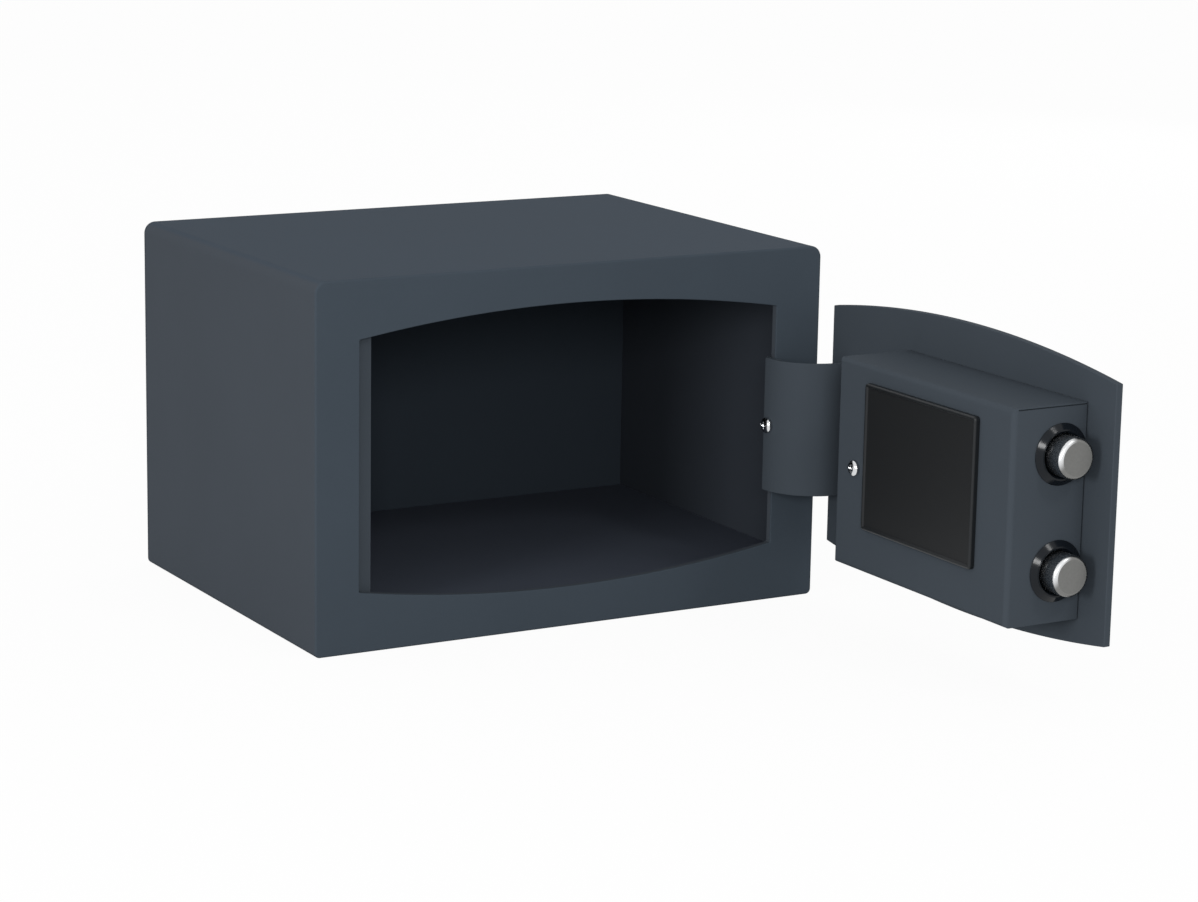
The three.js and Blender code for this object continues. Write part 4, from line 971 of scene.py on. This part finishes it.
def makeLens():
    tall = lens["height"] / 2
    glow = slab("lamp_window", pad["pocketX"], lens["z"], lens["width"] / 2, tall,
                pad["face"] - lens["proud"], keys["flangeFace"] + keys["flangeThick"])
    rounded(glow, (frontToBack, tall * lens["roundness"], lens["steps"]))
    soften(glow, *lens["ease"])
    fitDoor(glow, "door", "lens_red", "status_lens")


knob = {"seat": -26.7, "radius": 20, "base": 6, "shoulder": 0.55, "taper": 1.5, "steps": 96,
        "ease": (0.5, 3), "grip": 15, "gripWidth": 9, "gripLength": 35,
        "gripRoundness": 0.96, "gripSteps": 8, "gripSunk": 0.5, "waist": (0.78, 1, 0.95),
        "edge": (1.2, 4), "spindle": 4.15, "spindleSteps": 32, "socket": 8,
        "lastEase": 0.25, "markWidth": 1.2, "markStart": 4, "markLength": 9,
        "markProud": 0.06, "markDepth": 0.15, "markRoundness": 0.45, "markSteps": 4}


def makeGrip(x, z, top, foot):
    half = knob["gripWidth"] / 2
    grip = slab("grip", x, z, half, knob["gripLength"] / 2, top, foot)
    edit(grip)
    roundEdges(frontToBack, half * knob["gripRoundness"], knob["gripSteps"])
    pick("FACE", faceAtDepth(top, -1))
    bpy.ops.transform.resize(value=knob["waist"], center_override=Vector((x, top, z)) * mm)
    roundEdges(atDepth(top), *knob["edge"])
    return leave(grip)


def makeKnob():
    seat, base, radius = -knob["seat"], knob["base"], knob["radius"]
    x, z = panel["lockX"], panel["spindleZ"]
    profile = [(0, seat), (radius, seat), (radius, seat + base * knob["shoulder"]),
               (radius - knob["taper"], seat + base), (0, seat + base)]
    skirt = turnedPiece("turning_knob", profile, (0, -1, 0), (x, 0, z), knob["steps"])
    soften(skirt, *knob["ease"])
    top = knob["markProud"] - (seat + base + knob["grip"])
    combine(skirt, makeGrip(x, z, top, -(seat + base) + knob["gripSunk"]), "UNION")
    socket = knob["socket"]
    carve(skirt, hole(knob["spindle"], (x, -(seat + socket / 2 - past / 2), z), (0, 1, 0),
                      socket + past, knob["spindleSteps"]))
    soften(skirt, knob["lastEase"], limit=limits["turnedCrease"])
    fitDoor(skirt, "knob", "black_plastic", "knob")
    half, start = knob["markWidth"] / 2, z + knob["markStart"]
    line = block("knob_mark", (x - half, top - knob["markProud"], start),
                 (x + half, top + knob["markDepth"], start + knob["markLength"]))
    rounded(line, (frontToBack, knob["markWidth"] * knob["markRoundness"], knob["markSteps"]))
    fitDoor(line, "knob", "black_plastic", finish="white_ink")


lock = {"seat": -26.7, "flangeRadius": 9.8, "flange": 1.4, "radius": 8, "bore": 5.35,
        "steps": 64, "ringEase": (0.3, 3), "plug": 5.2, "plugProud": 0.6,
        "plugPast": 1, "back": -11.9, "slotWidth": 1.6, "slotLength": 7.6, "slotDepth": 9,
        "ease": 0.2, "capRadius": 12, "capHeight": 5, "capWall": 1.4,
        "capEdge": 1, "capEdgeStep": 15, "capSteps": 72}


def makeEmergencyLock():
    x, z, seat, back = panel["lockX"], panel["cylinderZ"], -lock["seat"], lock["back"]
    end, bore, flange = seat + lock["flange"], lock["bore"], lock["flangeRadius"]
    profile = [(bore, back), (lock["radius"], back), (lock["radius"], seat), (flange, seat),
               (flange, end), (bore, end), (bore, back)]
    ring = turnedPiece("cylinder_ring", profile, (0, -1, 0), (x, 0, z), lock["steps"])
    soften(ring, *lock["ringEase"])
    fitDoor(ring, "door", "screw_chrome", "key_cylinder")
    face, foot = end + lock["plugProud"], back - lock["plugPast"]
    profile = [(0, foot), (lock["plug"], foot), (lock["plug"], face), (0, face)]
    plug = turnedPiece("lock_plug", profile, (0, -1, 0), (x, 0, z), lock["steps"])
    carve(plug, slab("keyway", x, z, lock["slotWidth"] / 2, lock["slotLength"] / 2,
                     -face - past, -face + lock["slotDepth"]))
    soften(plug, lock["ease"])
    fitDoor(plug, "plug", "brass", "key_plug")
    makeLockCap(x, z, seat)


def makeLockCap(x, z, seat):
    outer, top = lock["capRadius"], seat + lock["capHeight"]
    inner, ceiling = outer - lock["capWall"], top - lock["capWall"]
    profile = [(inner, seat), (outer, seat),
               *easedRim(outer, top, lock["capEdge"], lock["capEdgeStep"]),
               (0, top), (0, ceiling), (inner, ceiling), (inner, seat)]
    cap = turnedPiece("lock_cap", profile, (0, -1, 0), (x, 0, z), lock["capSteps"])
    soften(cap, lock["ease"], limit=limits["turnedCrease"])
    fitDoor(cap, "cap", "black_plastic", "key_cap")


makeHousing()
makeKeys()
makeLens()
makeKnob()
makeEmergencyLock()
print("outside of the door made")


# Cells in the tray

cell = {"radius": 7.1, "half": 24.75, "footEdge": 0.4, "headEdge": 0.6, "nub": 2.6,
        "nubFoot": 0.4, "nubLength": 1, "x": -177.4, "y": 26.2, "firstZ": 84.4, "pitch": 15,
        "count": 4, "steps": 48, "ease": 0.15, "crease": 50}


def makeCells():
    half, radius, nub = cell["half"], cell["radius"], cell["nub"]
    tip = half + cell["nubLength"]
    profile = [(0, -half), (radius - cell["footEdge"], -half), (radius, -half + cell["footEdge"]),
               (radius, half - cell["headEdge"]), (radius - cell["headEdge"], half),
               (nub + cell["nubFoot"], half), (nub, half), (nub, tip), (0, tip)]
    for number in range(cell["count"]):
        turned = number % 2 == 1
        power = turnedPiece(f"cell_{number + 1}", profile, (-1 if turned else 1, 0, 0),
                            (cell["x"], cell["y"], cell["firstZ"] + number * cell["pitch"]),
                            cell["steps"])
        soften(power, cell["ease"], limit=cell["crease"])
        fitDoor(power, "door", "cell_wrap", f"battery_{number + 1}",
                finish="cell_wrap_turned" if turned else "cell_wrap")


makeCells()
print("cells made")


# CAD nodes that stay get their finish, and those with bare edges a small round on them

keptNodes = {
    "lining_coat": ("inner_back",),
    "floor_coat": ("inner_floor",),
    "shell_coat": ("door_stop", "hinge_bracket_upper", "hinge_bracket_lower", "hinge_leaf"),
    "zinc_plate": ("hinge_pin", "cover_post", "bolt_guide", "bolt_carrier", "guide_stud_lower",
                   "guide_stud_upper", "cam_disc"),
    "wire_steel": ("pin_clip", "battery_contact_left", "battery_contact_right", "knob_spindle",
                   "solenoid_spring", "solenoid_plunger"),
    "brass": ("spindle_bush",),
    "grey_plastic": ("battery_tray", "solenoid_body", "board_mount"),
    "board_green": ("circuit_board", "keypad_board"),
}
softNodes = {0.15: ("circuit_board", "keypad_board"),
             0.3: ("hinge_leaf", "battery_tray", "bolt_carrier"),
             0.4: ("hinge_bracket_upper", "hinge_bracket_lower", "bolt_guide", "solenoid_body"),
             0.5: ("door_stop",), 0.6: ("inner_floor", "inner_back")}


def dressKeptNodes():
    for finish, names in keptNodes.items():
        for name in names:
            dress(cadNodes[name], finish)
    for radius, names in softNodes.items():
        for name in names:
            weld = cadNodes[name].modifiers.new("weld", "WELD")
            weld.merge_threshold = limits["weld"]
            ease = cadNodes[name].modifiers.new("ease", "BEVEL")
            ease.width, ease.segments = radius * mm, 2
            ease.limit_method, ease.angle_limit = "ANGLE", math.radians(limits["crease"])


dressKeptNodes()
print("kept nodes dressed")


# Studio, in metres

studio = {"floorSize": 14, "floorColour": 0.92, "bounce": 0.62, "skyLight": 0.69, "paper": 0.95,
          "white": (1, 1, 1, 1)}
# Each lamp's place, the point it is aimed at, its size and its power
lamps = {"softbox_top": ((0.45, -1.7, 1.6), (0, -0.1, 0.1), 0.3, 4),
         "softbox_front": ((-0.98, -2.1, 0.78), (0.1, -0.2, 0.1), 0.4, 12),
         "softbox_left": ((-2.05, -0.95, 0.5), (0.1, -0.2, 0.1), 0.5, 14),
         "softbox_behind": ((1.9, 1.3, 0.8), (0, 0, 0.1), 1.2, 5)}


def seenByEye(tree):
    # 1 for what the camera, gloss and clear pieces see, 0 for what lights the object
    path = tree.nodes.new("ShaderNodeLightPath")
    rays = [Wire(tree, path.outputs[name]) for name in ("Is Camera Ray", "Is Glossy Ray",
                                                       "Is Transmission Ray")]
    return rays[0].larger(rays[1].larger(rays[2]))


def startStudio(thing):
    thing.use_nodes = True
    thing.node_tree.nodes.clear()
    return seenByEye(thing.node_tree)


def endStudio(wire, kind):
    output = wire.tree.nodes.new(kind)
    wire.tree.links.new(wire.socket, output.inputs["Surface"])


def makeFloor():
    deselect()
    bpy.ops.mesh.primitive_plane_add(size=studio["floorSize"])
    floor = bpy.context.object
    floor.name = "paper_floor"
    paper = bpy.data.materials.new("white paper")
    eye = startStudio(paper)
    grey = eye * (studio["floorColour"] - studio["bounce"]) + studio["bounce"]
    matt = eye.node("ShaderNodeBsdfDiffuse", {"Color": grey})
    glow = eye.node("ShaderNodeEmission", {"Color": studio["white"], "Strength": 1})
    whole = eye.node("ShaderNodeMixShader", {0: eye * studio["paper"], 1: matt, 2: glow})
    endStudio(whole, "ShaderNodeOutputMaterial")
    floor.data.materials.append(paper)


def makeSky():
    sky = bpy.data.worlds.new("studio")
    bpy.context.scene.world = sky
    eye = startStudio(sky)
    strength = eye * (1 - studio["skyLight"]) + studio["skyLight"]
    light = eye.node("ShaderNodeBackground", {"Color": studio["white"], "Strength": strength})
    endStudio(light, "ShaderNodeOutputWorld")


def makeLamps():
    for name, (place, aim, size, power) in lamps.items():
        deselect()
        bpy.ops.object.light_add(type="AREA", location=place)
        light = bpy.context.object
        light.name = name
        light.data.size, light.data.energy = size, power
        light.rotation_euler = (Vector(aim) - light.location).to_track_quat("-Z", "Y").to_euler()


camera = {"at": (-0.8714, -1.6516, 0.4806), "turn": (77.7646, -0.9969, -29.7442),
          "lens": 100.52, "sensor": 36}


def makeCamera():
    deselect()
    bpy.ops.object.camera_add(location=camera["at"],
                              rotation=[math.radians(angle) for angle in camera["turn"]])
    eye = bpy.context.object
    eye.name = "photo_camera"
    eye.data.lens, eye.data.sensor_width = camera["lens"], camera["sensor"]
    eye.data.sensor_fit = "HORIZONTAL"
    bpy.context.scene.camera = eye


makeFloor()
makeSky()
makeLamps()
makeCamera()
bpy.context.scene.view_settings.view_transform = "Standard"
print("studio ready")
